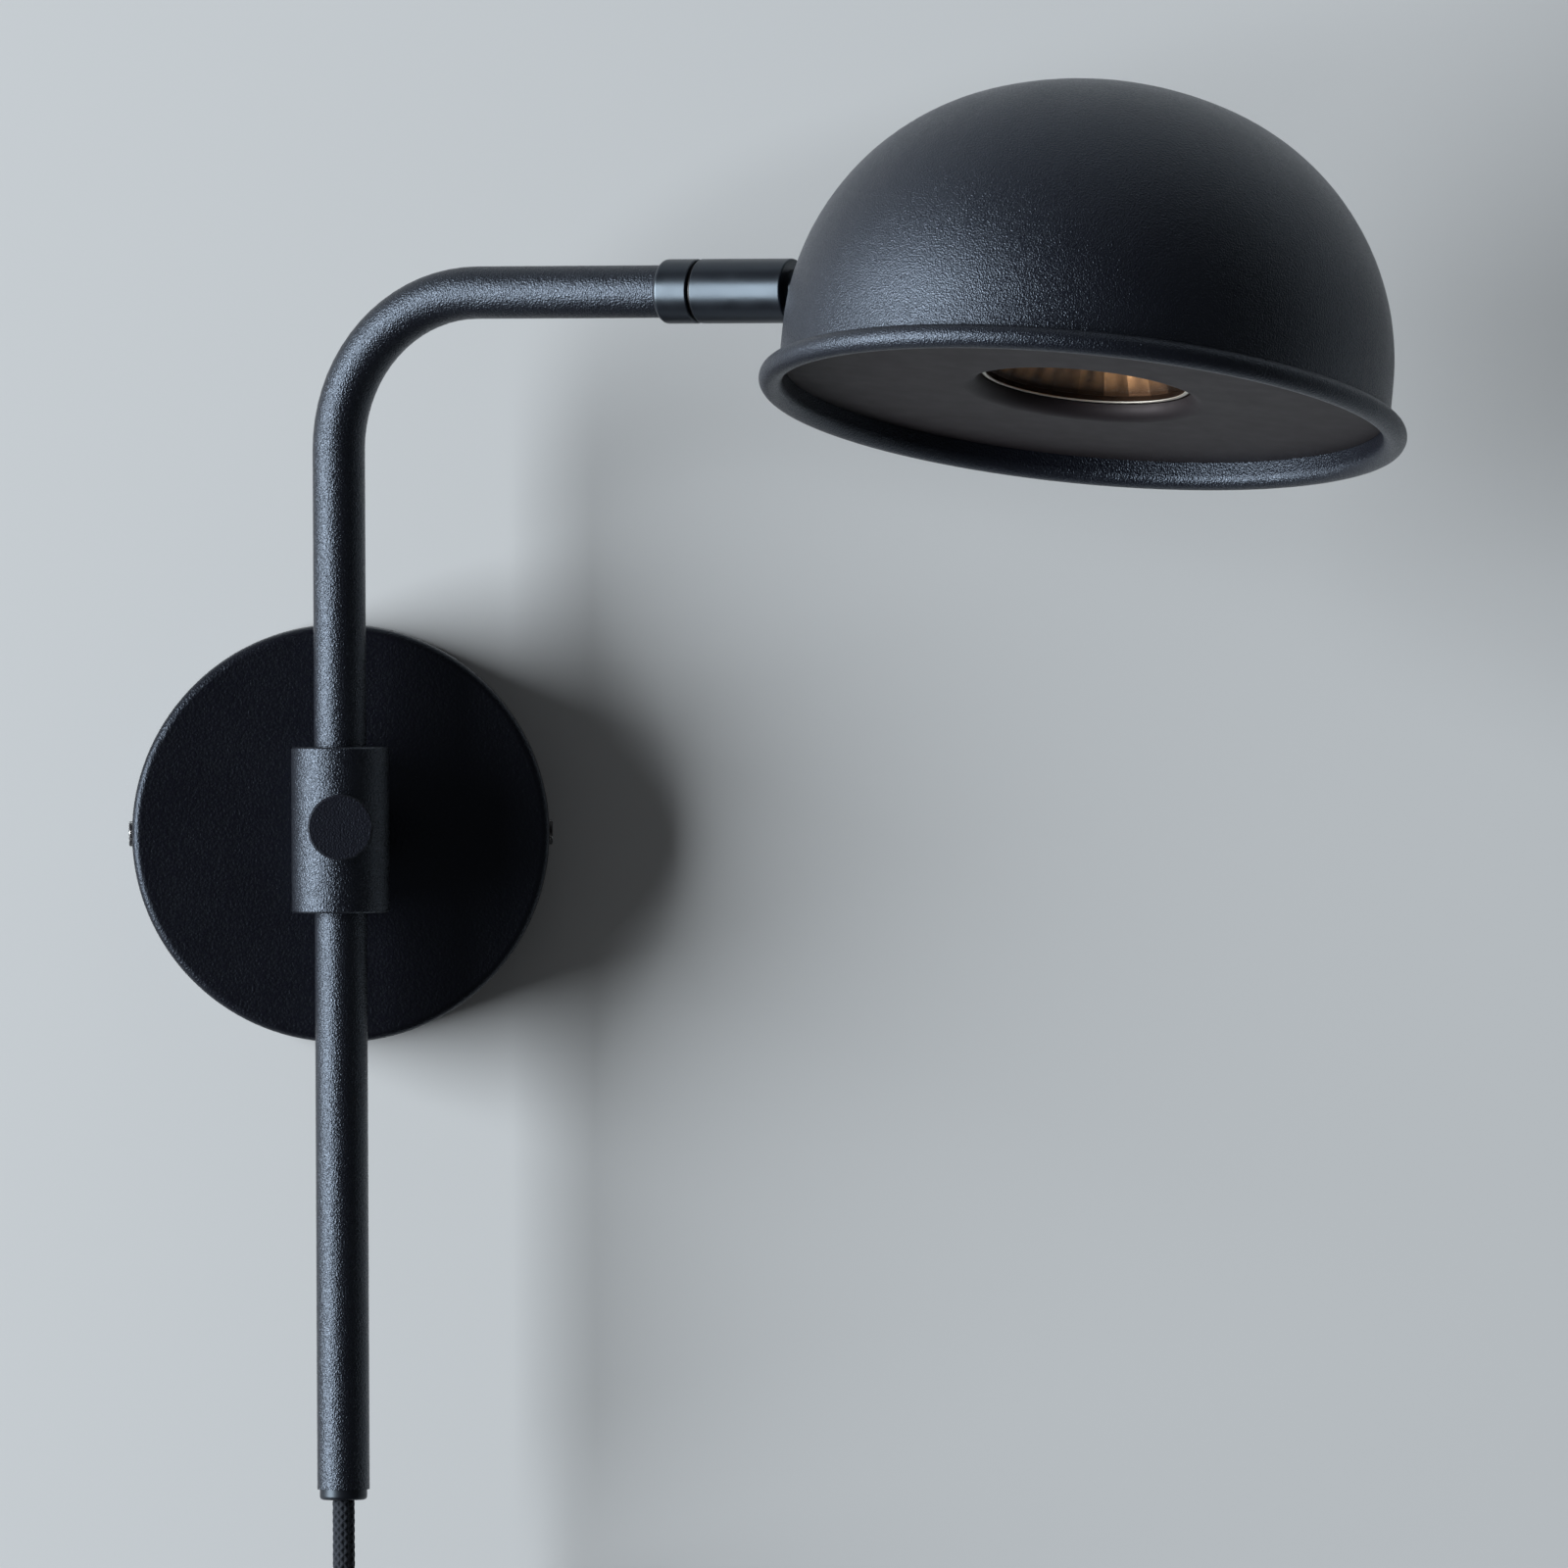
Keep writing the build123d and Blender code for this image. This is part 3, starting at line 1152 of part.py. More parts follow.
with BuildPart() as cord_coil:
    with BuildLine() as coil_path:
        Line((0, -stand_off, switch_bottom + lead_inside), (0, -stand_off, bend_start))
        ThreePointArc(
            (0, -stand_off, bend_start),
            (coil_bend_radius * (1 - math.cos(turn_in / 2)), -stand_off,
             bend_start - coil_bend_radius * math.sin(turn_in / 2)),
            (merge_x, -stand_off, merge_z))
        entry_x = coil_x - coil_pitch / 4
        ThreePointArc(
            (merge_x, -stand_off, merge_z),
            (entry_x + entry_radius * math.cos(turn_in / 2), -stand_off,
             coil_z + entry_radius * math.sin(turn_in / 2)),
            coil_point(coil_outer_radius, 0))
        for turn in range(coil_turns):
            right = coil_outer_radius - turn * coil_pitch
            left = right - coil_pitch / 2
            half_turn(coil_point(right, 0), coil_point(-left, 0), below=True)
            half_turn(coil_point(-left, 0), coil_point(right - coil_pitch, 0), below=False)
        half_turn(coil_point(inner_right, 0), coil_point(-inner_left, 1), below=True)
        half_turn(coil_point(-inner_left, 1), coil_point(back_right, 1), below=False)
        for turn in range(coil_turns):
            right = back_right + turn * coil_pitch
            left = right + coil_pitch / 2
            half_turn(coil_point(right, 1), coil_point(-left, 1), below=True)
            half_turn(coil_point(-left, 1), coil_point(right + coil_pitch, 1), below=False)
        tail_foot = coil_point(end_right, 1) - Vector(0, 0, coil_tail + plug_relief)
        Line(coil_point(end_right, 1), tail_foot)
    with BuildSketch(Plane(origin=(0, -stand_off, switch_bottom + lead_inside))):
        Circle(cord_diameter / 2)
    sweep(path=coil_path.wires()[0])
save(cord_coil.part, "cord_coil")

# strap round the bundle of turns, at the coil's left side
tie_room = 0.4
bundle_outer = end_right - coil_pitch / 2
tie_outer = max(bundle_outer, coil_outer_radius - coil_pitch / 2) + cord_diameter / 2 + tie_room
tie_inner = inner_left - cord_diameter / 2 - 1.5 * tie_room
tie_across = tie_outer - tie_inner
tie_deep = coil_pitch + cord_diameter + 2 * tie_room
tie_corner = cord_diameter / 2
with BuildPart() as coil_tie:
    with BuildSketch(Plane(origin=(coil_x - (tie_outer + tie_inner) / 2, -stand_off + coil_pitch / 2,
                                   coil_z - tie_width / 2))):
        RectangleRounded(tie_across + 2 * tie_thickness, tie_deep + 2 * tie_thickness,
                         tie_corner + tie_thickness)
        RectangleRounded(tie_across, tie_deep, tie_corner, mode=Mode.SUBTRACT)
    extrude(amount=tie_width)
save(coil_tie.part, "coil_tie")


def plug_plane(distance):
    """Plane square to the plug, facing its pins, at a distance past the strain relief."""
    return Plane(origin=(tail_foot.X, tail_foot.Y, tail_foot.Z - distance), x_dir=(0, 1, 0),
                 z_dir=(0, 0, -1))


with BuildPart() as plug_body:
    with BuildSketch(plug_plane(0)):
        RectangleRounded(plug_neck_width, plug_neck_thickness, 4.0)
    with BuildSketch(plug_plane(plug_shoulder)):
        RectangleRounded(plug_width, plug_thickness, 5.0)
    loft()
    with BuildSketch(plug_plane(plug_shoulder)):
        RectangleRounded(plug_width, plug_thickness, 5.0)
    extrude(amount=plug_length - plug_shoulder)
    fillet(plug_body.faces().sort_by(Axis.Z)[0].edges(), radius=0.8)
    with BuildSketch(plug_plane(plug_length)):
        with Locations((-plug_pin_spacing / 2, 0), (plug_pin_spacing / 2, 0)):
            Circle(plug_pin_diameter / 2 + seat)
    extrude(amount=-8.0, mode=Mode.SUBTRACT)
save(plug_body.part, "plug_body")

with BuildPart() as plug_strain_relief:
    with BuildSketch(plug_plane(0)):
        Circle(plug_relief_radius)
    with BuildSketch(plug_plane(-plug_relief)):
        Circle(relief_tip_radius)
    loft()
    for groove in range(relief_grooves):
        height = plug_relief * (groove + 1) / (relief_grooves + 1.5)
        local_radius = plug_relief_radius - (plug_relief_radius - relief_tip_radius) * height / plug_relief
        with BuildSketch(plug_plane(-height)):
            Circle(plug_relief_radius)
            Circle(local_radius - 0.4, mode=Mode.SUBTRACT)
        extrude(amount=-1.2, mode=Mode.SUBTRACT)
    with BuildSketch(plug_plane(0)):
        Circle(lead_bore)
    extrude(amount=-plug_relief, mode=Mode.SUBTRACT)
save(plug_strain_relief.part, "plug_strain_relief")

with BuildPart() as plug_pins:
    with BuildSketch(plug_plane(plug_length - 8.0)):
        with Locations((-plug_pin_spacing / 2, 0), (plug_pin_spacing / 2, 0)):
            Circle(plug_pin_diameter / 2)
    extrude(amount=8.0 + plug_pin_length)
    chamfer(plug_pins.faces().sort_by(Axis.Z)[0:2].edges(), length=0.6)
save(plug_pins.part, "plug_pins")

# ---------------------------------------------------------------- what the cords measure
coil_wire = coil_path.wires()[0]
coil_steps = int(coil_wire.length)
coil_points = [coil_wire.position_at(step / coil_steps) for step in range(coil_steps + 1)]
own_run = int(3 * cord_diameter)
nearest = min(
    (coil_points[first] - coil_points[second]).length
    for first in range(coil_steps + 1)
    for second in range(first + own_run, coil_steps + 1))
section = math.pi * (cord_diameter / 2) ** 2
print("arm lead bend radius", bend_radius, "head lead radii", [round(radius, 1) for radius in head_radii])
print("coil: least radius", round((inner_right + inner_left) / 2, 2), "least gap to itself",
      round(nearest - cord_diameter, 2))
print("coil: length", round(coil_wire.length, 1), "volume", round(cord_coil.part.volume, 1),
      "section times length", round(section * coil_wire.length, 1))
print("free cord from the end cap to the plug",
      round(cap_bottom - switch_bottom - lead_inside + coil_wire.length, 1))
print("lowest point", round(tail_foot.Z - plug_length - plug_pin_length, 1))
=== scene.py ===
# %% [markdown]
# # A plug-in wall lamp, dressed
#
# The lamp's rigid pieces arrive at their real size and place, as a packed frame. This script gives
# them their finishes, lays the textile cord along its route, lights them and sets the camera. All
# lengths are in metres: X runs right along the wall, Y into the wall and Z up.

# %% Load the lamp
import math

import bpy
import numpy as np
from mathutils import Matrix, Vector


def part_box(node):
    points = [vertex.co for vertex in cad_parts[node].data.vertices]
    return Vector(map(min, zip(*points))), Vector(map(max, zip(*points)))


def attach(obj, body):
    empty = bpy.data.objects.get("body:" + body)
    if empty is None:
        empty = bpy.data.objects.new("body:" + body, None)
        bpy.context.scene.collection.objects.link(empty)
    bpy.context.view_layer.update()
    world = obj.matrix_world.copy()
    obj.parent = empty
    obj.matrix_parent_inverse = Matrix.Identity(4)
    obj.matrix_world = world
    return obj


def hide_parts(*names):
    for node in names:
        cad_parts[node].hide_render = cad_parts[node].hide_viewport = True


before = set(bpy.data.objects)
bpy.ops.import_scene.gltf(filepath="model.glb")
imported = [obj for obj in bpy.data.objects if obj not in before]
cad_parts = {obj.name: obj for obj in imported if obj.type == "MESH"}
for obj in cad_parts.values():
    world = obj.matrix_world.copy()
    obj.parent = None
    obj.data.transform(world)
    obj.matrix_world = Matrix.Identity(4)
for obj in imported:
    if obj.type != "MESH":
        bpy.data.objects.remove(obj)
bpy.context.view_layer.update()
MM = 0.001
print("pieces in the frame:", len(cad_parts))

# %% [markdown]
# ## The camera
#
# The photograph was taken from far away with a long lens, so the arm that swings out from the wall
# hardly grows towards its end. A camera seven metres off, a little above the canopy and tipped down
# by less than a degree, gives that view. The lens follows from the focal length in picture widths.

# %% Turn the camera
camera_place = Vector((24.27, -7000.0, 107.86)) * MM
turned_right, tipped_up, rolled = (math.radians(angle) for angle in (0.664, -0.793, -0.253))

ahead = Vector((math.sin(turned_right) * math.cos(tipped_up),
                math.cos(turned_right) * math.cos(tipped_up), math.sin(tipped_up)))
flat_right = Vector((math.cos(turned_right), -math.sin(turned_right), 0.0))
flat_up = flat_right.cross(ahead)
right = flat_right * math.cos(rolled) + flat_up * math.sin(rolled)
up = flat_up * math.cos(rolled) - flat_right * math.sin(rolled)
print("the camera looks along:", [round(part, 4) for part in ahead])

# %% Make the camera
picture_width = 1600
focal_in_pixels = 30029.5
sensor_width = 36.0
camera_data = bpy.data.cameras.new("photo_camera")
camera_data.sensor_width = sensor_width
camera_data.lens = sensor_width * focal_in_pixels / picture_width
camera = bpy.data.objects.new("photo_camera", camera_data)
turn = Matrix((right, up, -ahead)).transposed()
camera.matrix_world = Matrix.Translation(camera_place) @ turn.to_4x4()
bpy.context.scene.collection.objects.link(camera)
bpy.context.scene.camera = camera
bpy.context.scene.view_settings.view_transform = "Standard"
print("lens, mm:", round(camera_data.lens, 1))

# %% [markdown]
# ## The cord's route
#
# A textile cord leaves the tube's end cap and hangs straight down, because it carries the inline
# switch. Below the switch the rest is put away in a round coil: it winds inwards in one layer,
# climbs to the next in the half turn where it reverses, and winds out again to the plug. The route
# is a list of control points in millimetres, and each half turn of the coil takes ten of them.

# %% List the cord's measures
cord_diameter = 5.3
cord_depth = -41.0
cord_exit = (0.0, cord_depth, -157.3)
below_switch, lead_end = -242.0, -270.5
coil_x, coil_z = -4.182, -315.268
outer_radius, pitch, turns = 39.2, 5.8, 3
points_per_half_turn = 10
step_angle = math.pi / points_per_half_turn
widening = 1 / math.cos(step_angle / 2)
entry_angle, entry_points = math.radians(48), 3
plug_drops = (6.5, 30.0)
print("a turn's points lie outside it by, mm:", round(outer_radius * (widening - 1), 2))


# %% Place points on a turn
def turn_points(start, end, first_angle, last_angle, count, layers=(0, 0)):
    """Points on part of a turn that crosses the coil's level line at start and at end, both
    distances from its centre: the turn's own centre is halfway and its radius half the gap, a
    little widened because the spline passes inside its points. The depth goes from one layer to
    the other as the cosine of the angle does."""
    angle = np.linspace(first_angle, last_angle, count)
    centre, radius = (start + end) / 2, (start - end) / 2 * widening
    layer = layers[0] + (layers[1] - layers[0]) * (1 - np.cos(angle)) / 2
    return np.stack([coil_x + centre + radius * np.cos(angle), cord_depth + pitch * layer,
                     coil_z + abs(radius) * np.sin(angle)], axis=1)


def half_turn(start, end, below, layers=(0, 0)):
    """Half a turn, below or above the level line."""
    side = -1 if below else 1
    first, last = side * step_angle / 2, side * (math.pi - step_angle / 2)
    return turn_points(start, end, first, last, points_per_half_turn, layers)


lowest_turn = half_turn(outer_radius, -(outer_radius - pitch / 2), below=True)
print("height of the coil's lowest point, mm:", round(float(lowest_turn[:, 2].min()), 1))

# %% Wind the coil
inner_right = outer_radius - turns * pitch
inner_left = inner_right - pitch / 2
back_right = inner_right + pitch / 2
end_right = back_right + turns * pitch

lead = np.array([cord_exit, (0.0, cord_depth, below_switch), (0.0, cord_depth, lead_end)])
coil = [turn_points(outer_radius, -outer_radius - pitch / 2, entry_angle, step_angle / 2,
                    entry_points)]
for lap in range(turns):
    edge = outer_radius - lap * pitch
    coil.append(half_turn(edge, -(edge - pitch / 2), below=True))
    coil.append(half_turn(-(edge - pitch / 2), edge - pitch, below=False))
coil.append(half_turn(inner_right, -inner_left, below=True, layers=(0, 1)))
coil.append(half_turn(-inner_left, back_right, below=False, layers=(1, 1)))
for lap in range(turns):
    edge = back_right + lap * pitch
    coil.append(half_turn(edge, -(edge + pitch / 2), below=True, layers=(1, 1)))
    coil.append(half_turn(-(edge + pitch / 2), edge + pitch, below=False, layers=(1, 1)))
plug_entry = np.array([(coil_x + end_right, cord_depth + pitch, coil_z - drop)
                       for drop in plug_drops])
route = np.concatenate([lead, *coil, plug_entry]) * MM
print("route points:", len(route))

# %% [markdown]
# ## A smooth line through the route
#
# A cord has no corners, so its line is a spline that takes the route's points as its control
# points. Order 3 keeps the curve close to them, and with the end points pinned it starts exactly at
# the end cap and ends in the plug. Blender turns the spline into a fine line whose length can be
# measured.


# %% Turn the route into a smooth line
def smooth_line(name, points, steps_per_point=8):
    """Open spline of order 3 with the points as its control points, as an object with no width."""
    curve = bpy.data.curves.new(name, "CURVE")
    curve.dimensions = "3D"
    curve.resolution_u = steps_per_point
    spline = curve.splines.new("NURBS")
    spline.points.add(len(points) - 1)
    spline.points.foreach_set("co", np.c_[points, np.ones(len(points))].ravel())
    spline.order_u = 3
    spline.use_endpoint_u = True
    return bpy.data.objects.new(name, curve)


line_object = smooth_line("cord_line", route)
line_mesh = bpy.data.meshes.new_from_object(line_object)
cord_line = np.empty(3 * len(line_mesh.vertices))
line_mesh.vertices.foreach_get("co", cord_line)
cord_line = cord_line.reshape(-1, 3)
cord_length = float(np.linalg.norm(np.diff(cord_line, axis=0), axis=1).sum())
print("cord length, m:", round(cord_length, 4))

# %% [markdown]
# ## A braided sleeve along the line
#
# The cord's sleeve is braided: two sets of yarns cross each other as helices, so its surface is a
# grid of small mounds. A tube made of rings can carry that. Each ring is turned so that it stays
# square to the line without twisting, and the radius rises and falls with the two helices.


# %% Space the rings
def even_points(line, spacing):
    """Points at an even spacing along a line, and their distances from its start."""
    along = np.r_[0.0, np.cumsum(np.linalg.norm(np.diff(line, axis=0), axis=1))]
    count = int(round(along[-1] / spacing)) + 1
    places = np.linspace(0.0, along[-1], count)
    spots = np.stack([np.interp(places, along, line[:, axis]) for axis in range(3)], axis=1)
    return spots, places


ring_spacing = 0.62 * MM
ring_places, ring_distance = even_points(cord_line, ring_spacing)
print("rings:", len(ring_places))


# %% Turn the rings
def steady_rings(line, first_side):
    """Two directions square to the line at each point, carried along without twist: each is the
    one before it with its share along the new tangent taken out."""
    tangent = np.gradient(line, axis=0)
    tangent /= np.linalg.norm(tangent, axis=1, keepdims=True)
    side = np.empty_like(line)
    side[0] = first_side
    for place in range(1, len(line)):
        step = side[place - 1] - tangent[place] * (side[place - 1] @ tangent[place])
        side[place] = step / np.linalg.norm(step)
    return side, np.cross(tangent, side)


side_a, side_b = steady_rings(ring_places, (0.0, -1.0, 0.0))
print("the last ring's first direction:", side_a[-1].round(3).tolist())

# %% Raise the yarns
braid_yarns = 8
braid_lead = 16.0 * MM
braid_height = 0.5 * MM
cord_sides = 40
around = np.arange(cord_sides) / cord_sides * 2 * math.pi
phase = math.pi * braid_yarns * ring_distance[:, None] / braid_lead
first_yarns = np.abs(np.sin(braid_yarns / 2 * around[None, :] + phase))
second_yarns = np.abs(np.sin(braid_yarns / 2 * around[None, :] - phase))
mound = np.maximum(first_yarns, second_yarns)
cord_radius = cord_diameter / 2 * MM - braid_height * (1 - mound)
cord_grid = (ring_places[:, None, :]
             + cord_radius[..., None] * np.cos(around)[None, :, None] * side_a[:, None, :]
             + cord_radius[..., None] * np.sin(around)[None, :, None] * side_b[:, None, :])
print("depth of the braid's hollows, mm:", round(float(np.ptp(cord_radius)) / MM, 3))


# %% Make a mesh from rings of points
def grid_mesh(name, grid, caps=False):
    """Mesh from an array of rings of points: a point, its neighbour in the ring and the two beyond
    them in the next ring are a face's four corners. With caps, the two end rings are filled."""
    rings, sides = grid.shape[:2]
    here = np.arange(rings * sides).reshape(rings, sides)
    beside = np.roll(here, -1, axis=1)
    quads = np.stack([here[:-1], beside[:-1], beside[1:], here[1:]], axis=-1).reshape(-1, 4)
    faces = quads.tolist()
    if caps:
        faces += [here[0][::-1].tolist(), here[-1].tolist()]
    mesh = bpy.data.meshes.new(name)
    mesh.from_pydata(grid.reshape(-1, 3).tolist(), [], faces)
    mesh.polygons.foreach_set("use_smooth", np.ones(len(faces), dtype=bool))
    mesh.update()
    piece = bpy.data.objects.new(name, mesh)
    bpy.context.scene.collection.objects.link(piece)
    return piece


cord = grid_mesh("textile_cord", cord_grid, caps=True)
print("cord faces:", len(cord.data.polygons))

# %% [markdown]
# ## The cord's own map
#
# The yarns' texture has to follow the cord round its coil, so it can't read the cord's place in
# space. The cord gets a UV map in metres instead: U is the distance along it and V the distance
# round it. The last face of each ring ends where the first one starts, so its far corners take the
# full way round in place of zero, or the pattern would run backwards across that face.

# %% Map the cord
corners_per_face = 4
cord_uv = cord.data.uv_layers.new(name="cord_uv")
corner_point = np.empty(len(cord.data.loops), dtype=np.int32)
cord.data.loops.foreach_get("vertex_index", corner_point)
ring_of, side_of = corner_point // cord_sides, corner_point % cord_sides
face_of = np.arange(len(corner_point)) // corners_per_face
closing = (face_of % cord_sides == cord_sides - 1) & (side_of == 0)
side_of = np.where(closing, cord_sides, side_of)
girth = side_of / cord_sides * math.pi * cord_diameter * MM
cord_map = np.stack([ring_distance[ring_of], girth], axis=1)
cord_uv.data.foreach_set("uv", cord_map.astype(np.float32).ravel())
print("the map's far corner, m:", cord_map.max(axis=0).round(4).tolist())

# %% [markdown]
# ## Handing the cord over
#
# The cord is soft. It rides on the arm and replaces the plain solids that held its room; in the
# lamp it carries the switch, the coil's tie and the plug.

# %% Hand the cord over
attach(cord, "arm")
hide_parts("cord_lead", "cord_coil")
print("the cord's line has points:", len(cord_line))

# %% [markdown]
# ## Writing shader maths as plain expressions
#
# A finish is a tree of nodes. To keep each finish readable, a wire is wrapped so that adding,
# taking away or multiplying wires adds the Math nodes, and one method adds any other node.


# %% A wire
class Wire:
    """A value in a finish's node tree that can be used in an expression."""

    def __init__(self, finish, socket):
        self.finish, self.socket = finish, socket

    def maths(self, operation, *values):
        return self.finish.node("ShaderNodeMath", {"operation": operation}, enumerate(values))

    def __add__(self, other):
        return self.maths("ADD", self, other)

    def __sub__(self, other):
        return self.maths("SUBTRACT", self, other)

    def __rsub__(self, other):
        return self.maths("SUBTRACT", other, self)

    def __mul__(self, other):
        return self.maths("MULTIPLY", self, other)

    def __pow__(self, other):
        return self.maths("POWER", self, other)

    def __abs__(self):
        return self.maths("ABSOLUTE", self)

    __radd__, __rmul__ = __add__, __mul__


print("a wire adds, takes away, multiplies and raises to a power")


# %% A finish
class Finish:
    """A material with one Principled shader, whose nodes are added by one method."""

    def __init__(self, name, **constants):
        self.material = bpy.data.materials.new(name)
        self.material.use_nodes = True
        self.tree = self.material.node_tree
        self.shader = self.tree.nodes["Principled BSDF"]
        for socket, value in constants.items():
            self.shader.inputs[socket.replace("_", " ")].default_value = value

    def node(self, kind, settings=(), sockets=(), out=0):
        made = self.tree.nodes.new(kind)
        for setting, value in dict(settings).items():
            setattr(made, setting, value)
        for socket, value in dict(sockets).items():
            self.join(made.inputs[socket], value)
        return Wire(self, made.outputs[out])

    def join(self, target, value):
        if isinstance(value, Wire):
            self.tree.links.new(value.socket, target)
        else:
            target.default_value = value

    def set(self, socket, value):
        self.join(self.shader.inputs[socket], value)

    def place(self):
        return self.node("ShaderNodeTexCoord", out="Object")

    def noise(self, size, detail=2.0, roughness=0.5):
        """Noise whose lumps are about size metres across, on the piece's own place."""
        return self.node("ShaderNodeTexNoise", {},
                         {"Vector": self.place(), "Scale": 1.0 / size, "Detail": detail,
                          "Roughness": roughness})

    def along(self, direction):
        """How far the place lies along a direction, in metres."""
        return self.node("ShaderNodeVectorMath", {"operation": "DOT_PRODUCT"},
                         {0: self.place(), 1: direction}, "Value")

    def blend(self, share, low, high):
        """Colour that goes from low to high as share goes from 0 to 1. A Mix node's sockets for
        colours are its inputs 6 and 7 and its output 2."""
        return self.node("ShaderNodeMix", {"data_type": "RGBA"}, {0: share, 6: low, 7: high}, 2)

    def span(self, value, low, high, to_low=0.0, to_high=1.0):
        """Value carried from the span low to high over to to_low to to_high, and held there."""
        return self.node("ShaderNodeMapRange", {},
                         {"Value": value, "From Min": low, "From Max": high, "To Min": to_low,
                          "To Max": to_high})

    def spread(self, noise, to_low, to_high):
        """Noise, whose values mostly lie between 0.3 and 0.7, spread over to_low to to_high."""
        return self.span(noise, 0.3, 0.7, to_low, to_high)

    def tones(self, share, colour, dark, light):
        """Base colour that goes from a darker to a lighter tone of one colour."""
        low, high = (tuple(tone * part for part in colour) + (1.0,) for tone in (dark, light))
        self.set("Base Color", self.blend(share, low, high))

    def bump(self, height, strength, distance):
        self.set("Normal", self.node("ShaderNodeBump", {}, {"Height": height, "Strength": strength,
                                                            "Distance": distance}))


print("a finish offers:", [method for method in vars(Finish) if not method.startswith("_")])

# %% [markdown]
# ## Powder coat
#
# Tube, clamp, canopy, knob and shade are powder coated: a blue-black skin with a fine orange-peel
# texture that breaks the highlight into tiny sparkles. Two sizes of noise make the peel, and it
# also varies the roughness, so that some grains flash and others stay dull. The coats of the canopy
# and the knob are duller than those of the tube and the shade.

# %% Make the powder coats
powder_tint = (0.66, 0.8, 1.0, 1.0)
grain_height = 0.24 * MM
flow_width, flow_height = 4.0, 0.04
cloud_size, cloud_dullness = 14.0 * MM, 0.02
# the first span paints the peel's hollows darker and its tops lighter, a painted shade; the second
# sets the roughness
painted_shade_span, shiny_tops = (0.38, 0.66), (0.35, 0.65)


def powder_coat(name, colour, gloss, rough, grain, strength):
    """Peel of fine grains on a weak, wider flow. Hollows are dull and tops shine, and the colour
    is painted darker in the hollows and lighter on the tops: painted shade and sparkle.
    """
    finish = Finish(name, Specular_IOR_Level=gloss, Specular_Tint=powder_tint)
    peel = finish.noise(grain, detail=1.0)
    flow = finish.noise(flow_width * grain, detail=1.0)
    cloud = finish.noise(cloud_size)
    # painted shade and sparkle: the peel's hollows are painted darker and its tops lighter
    finish.tones(finish.span(peel, *painted_shade_span), colour, dark=0.7, light=1.4)
    finish.set("Roughness", finish.spread(cloud, rough - cloud_dullness, rough + cloud_dullness)
               + finish.span(peel, *shiny_tops, to_low=0.06, to_high=-0.08))
    finish.bump(peel + flow_height * flow, strength, grain_height)
    return finish.material


shade_coat = powder_coat("shade_powder_coat", (0.0024, 0.0025, 0.0056), gloss=0.68, rough=0.36,
                         grain=0.4 * MM, strength=0.95)
tube_coat = powder_coat("tube_powder_coat", (0.0016, 0.0015, 0.0034), gloss=0.68, rough=0.34,
                        grain=0.4 * MM, strength=1.0)
canopy_coat = powder_coat("canopy_powder_coat", (0.0022, 0.0021, 0.0042), gloss=0.36, rough=0.39,
                          grain=0.55 * MM, strength=0.6)
knob_coat = powder_coat("knob_powder_coat", (0.0042, 0.0042, 0.0075), gloss=0.28, rough=0.5,
                        grain=0.45 * MM, strength=0.8)
print("coats:", [coat.name for coat in (shade_coat, tube_coat, canopy_coat, knob_coat)])

# %% [markdown]
# ## Smooth paint
#
# The swivel's two barrels are turned pieces with a smooth satin paint, so their highlight is a
# clean broad stripe. The tube's end cap has the same paint, a little duller. The baffle pan inside
# the shade is black too, but matte: it looks grey from the side only because it is seen at a
# shallow angle, where any paint mirrors the pale wall.

# %% Make the smooth paints
satin_tint = (0.68, 0.84, 1.0, 1.0)
pan_tint = (1.0, 0.92, 0.96, 1.0)
satin_black = (0.0022, 0.0023, 0.0042)


def smooth_paint(name, colour, gloss, rough, peel_height, tint=satin_tint):
    """Thin paint, with soft clouds in its colour and roughness and a hardly raised skin."""
    finish = Finish(name, Specular_IOR_Level=gloss, Specular_Tint=tint)
    cloud = finish.noise(size=6.0 * MM, detail=3.0)
    finish.tones(cloud, colour, dark=0.85, light=1.1)
    finish.set("Roughness", finish.spread(cloud, to_low=rough - 0.03, to_high=rough + 0.03))
    finish.bump(finish.noise(size=0.8 * MM), strength=0.2, distance=peel_height)
    return finish.material


swivel_paint = smooth_paint("swivel_satin_paint", satin_black, gloss=0.72, rough=0.34,
                            peel_height=0.02 * MM)
pan_paint = smooth_paint("pan_matte_paint", (0.007, 0.005, 0.0068), gloss=0.4, rough=0.6,
                         peel_height=0.04 * MM, tint=pan_tint)
cap_paint = smooth_paint("end_cap_paint", satin_black, gloss=0.5, rough=0.4,
                         peel_height=0.04 * MM)
print("smooth paints:", [paint.name for paint in (swivel_paint, pan_paint, cap_paint)])

# %% [markdown]
# ## Plated metals
#
# Hidden steel pieces are zinc plated, with the faint clouds of a plating bath. Springs are bare
# spring steel, and the pins of plug and lamp are bright nickel. One function makes all three, and
# only colour and roughness differ.


# %% Plate the metals
def plated_metal(name, colour, rough):
    """Metal whose clouds vary both its colour and its roughness."""
    finish = Finish(name, Metallic=1.0)
    cloud = finish.noise(size=5.0 * MM, detail=4.0, roughness=0.6)
    finish.tones(cloud, colour, dark=0.8, light=1.05)
    finish.set("Roughness", finish.span(cloud, low=0.25, high=0.75, to_low=0.8 * rough,
                                        to_high=1.25 * rough))
    finish.bump(finish.noise(size=0.3 * MM), strength=0.12, distance=0.02 * MM)
    return finish.material


zinc = plated_metal("zinc_plated_steel", (0.62, 0.62, 0.6), rough=0.32)
spring_steel = plated_metal("spring_steel", (0.42, 0.43, 0.45), rough=0.25)
bright_nickel = plated_metal("bright_nickel", (0.78, 0.75, 0.68), rough=0.14)
print("metals:", [metal.name for metal in (zinc, spring_steel, bright_nickel)])

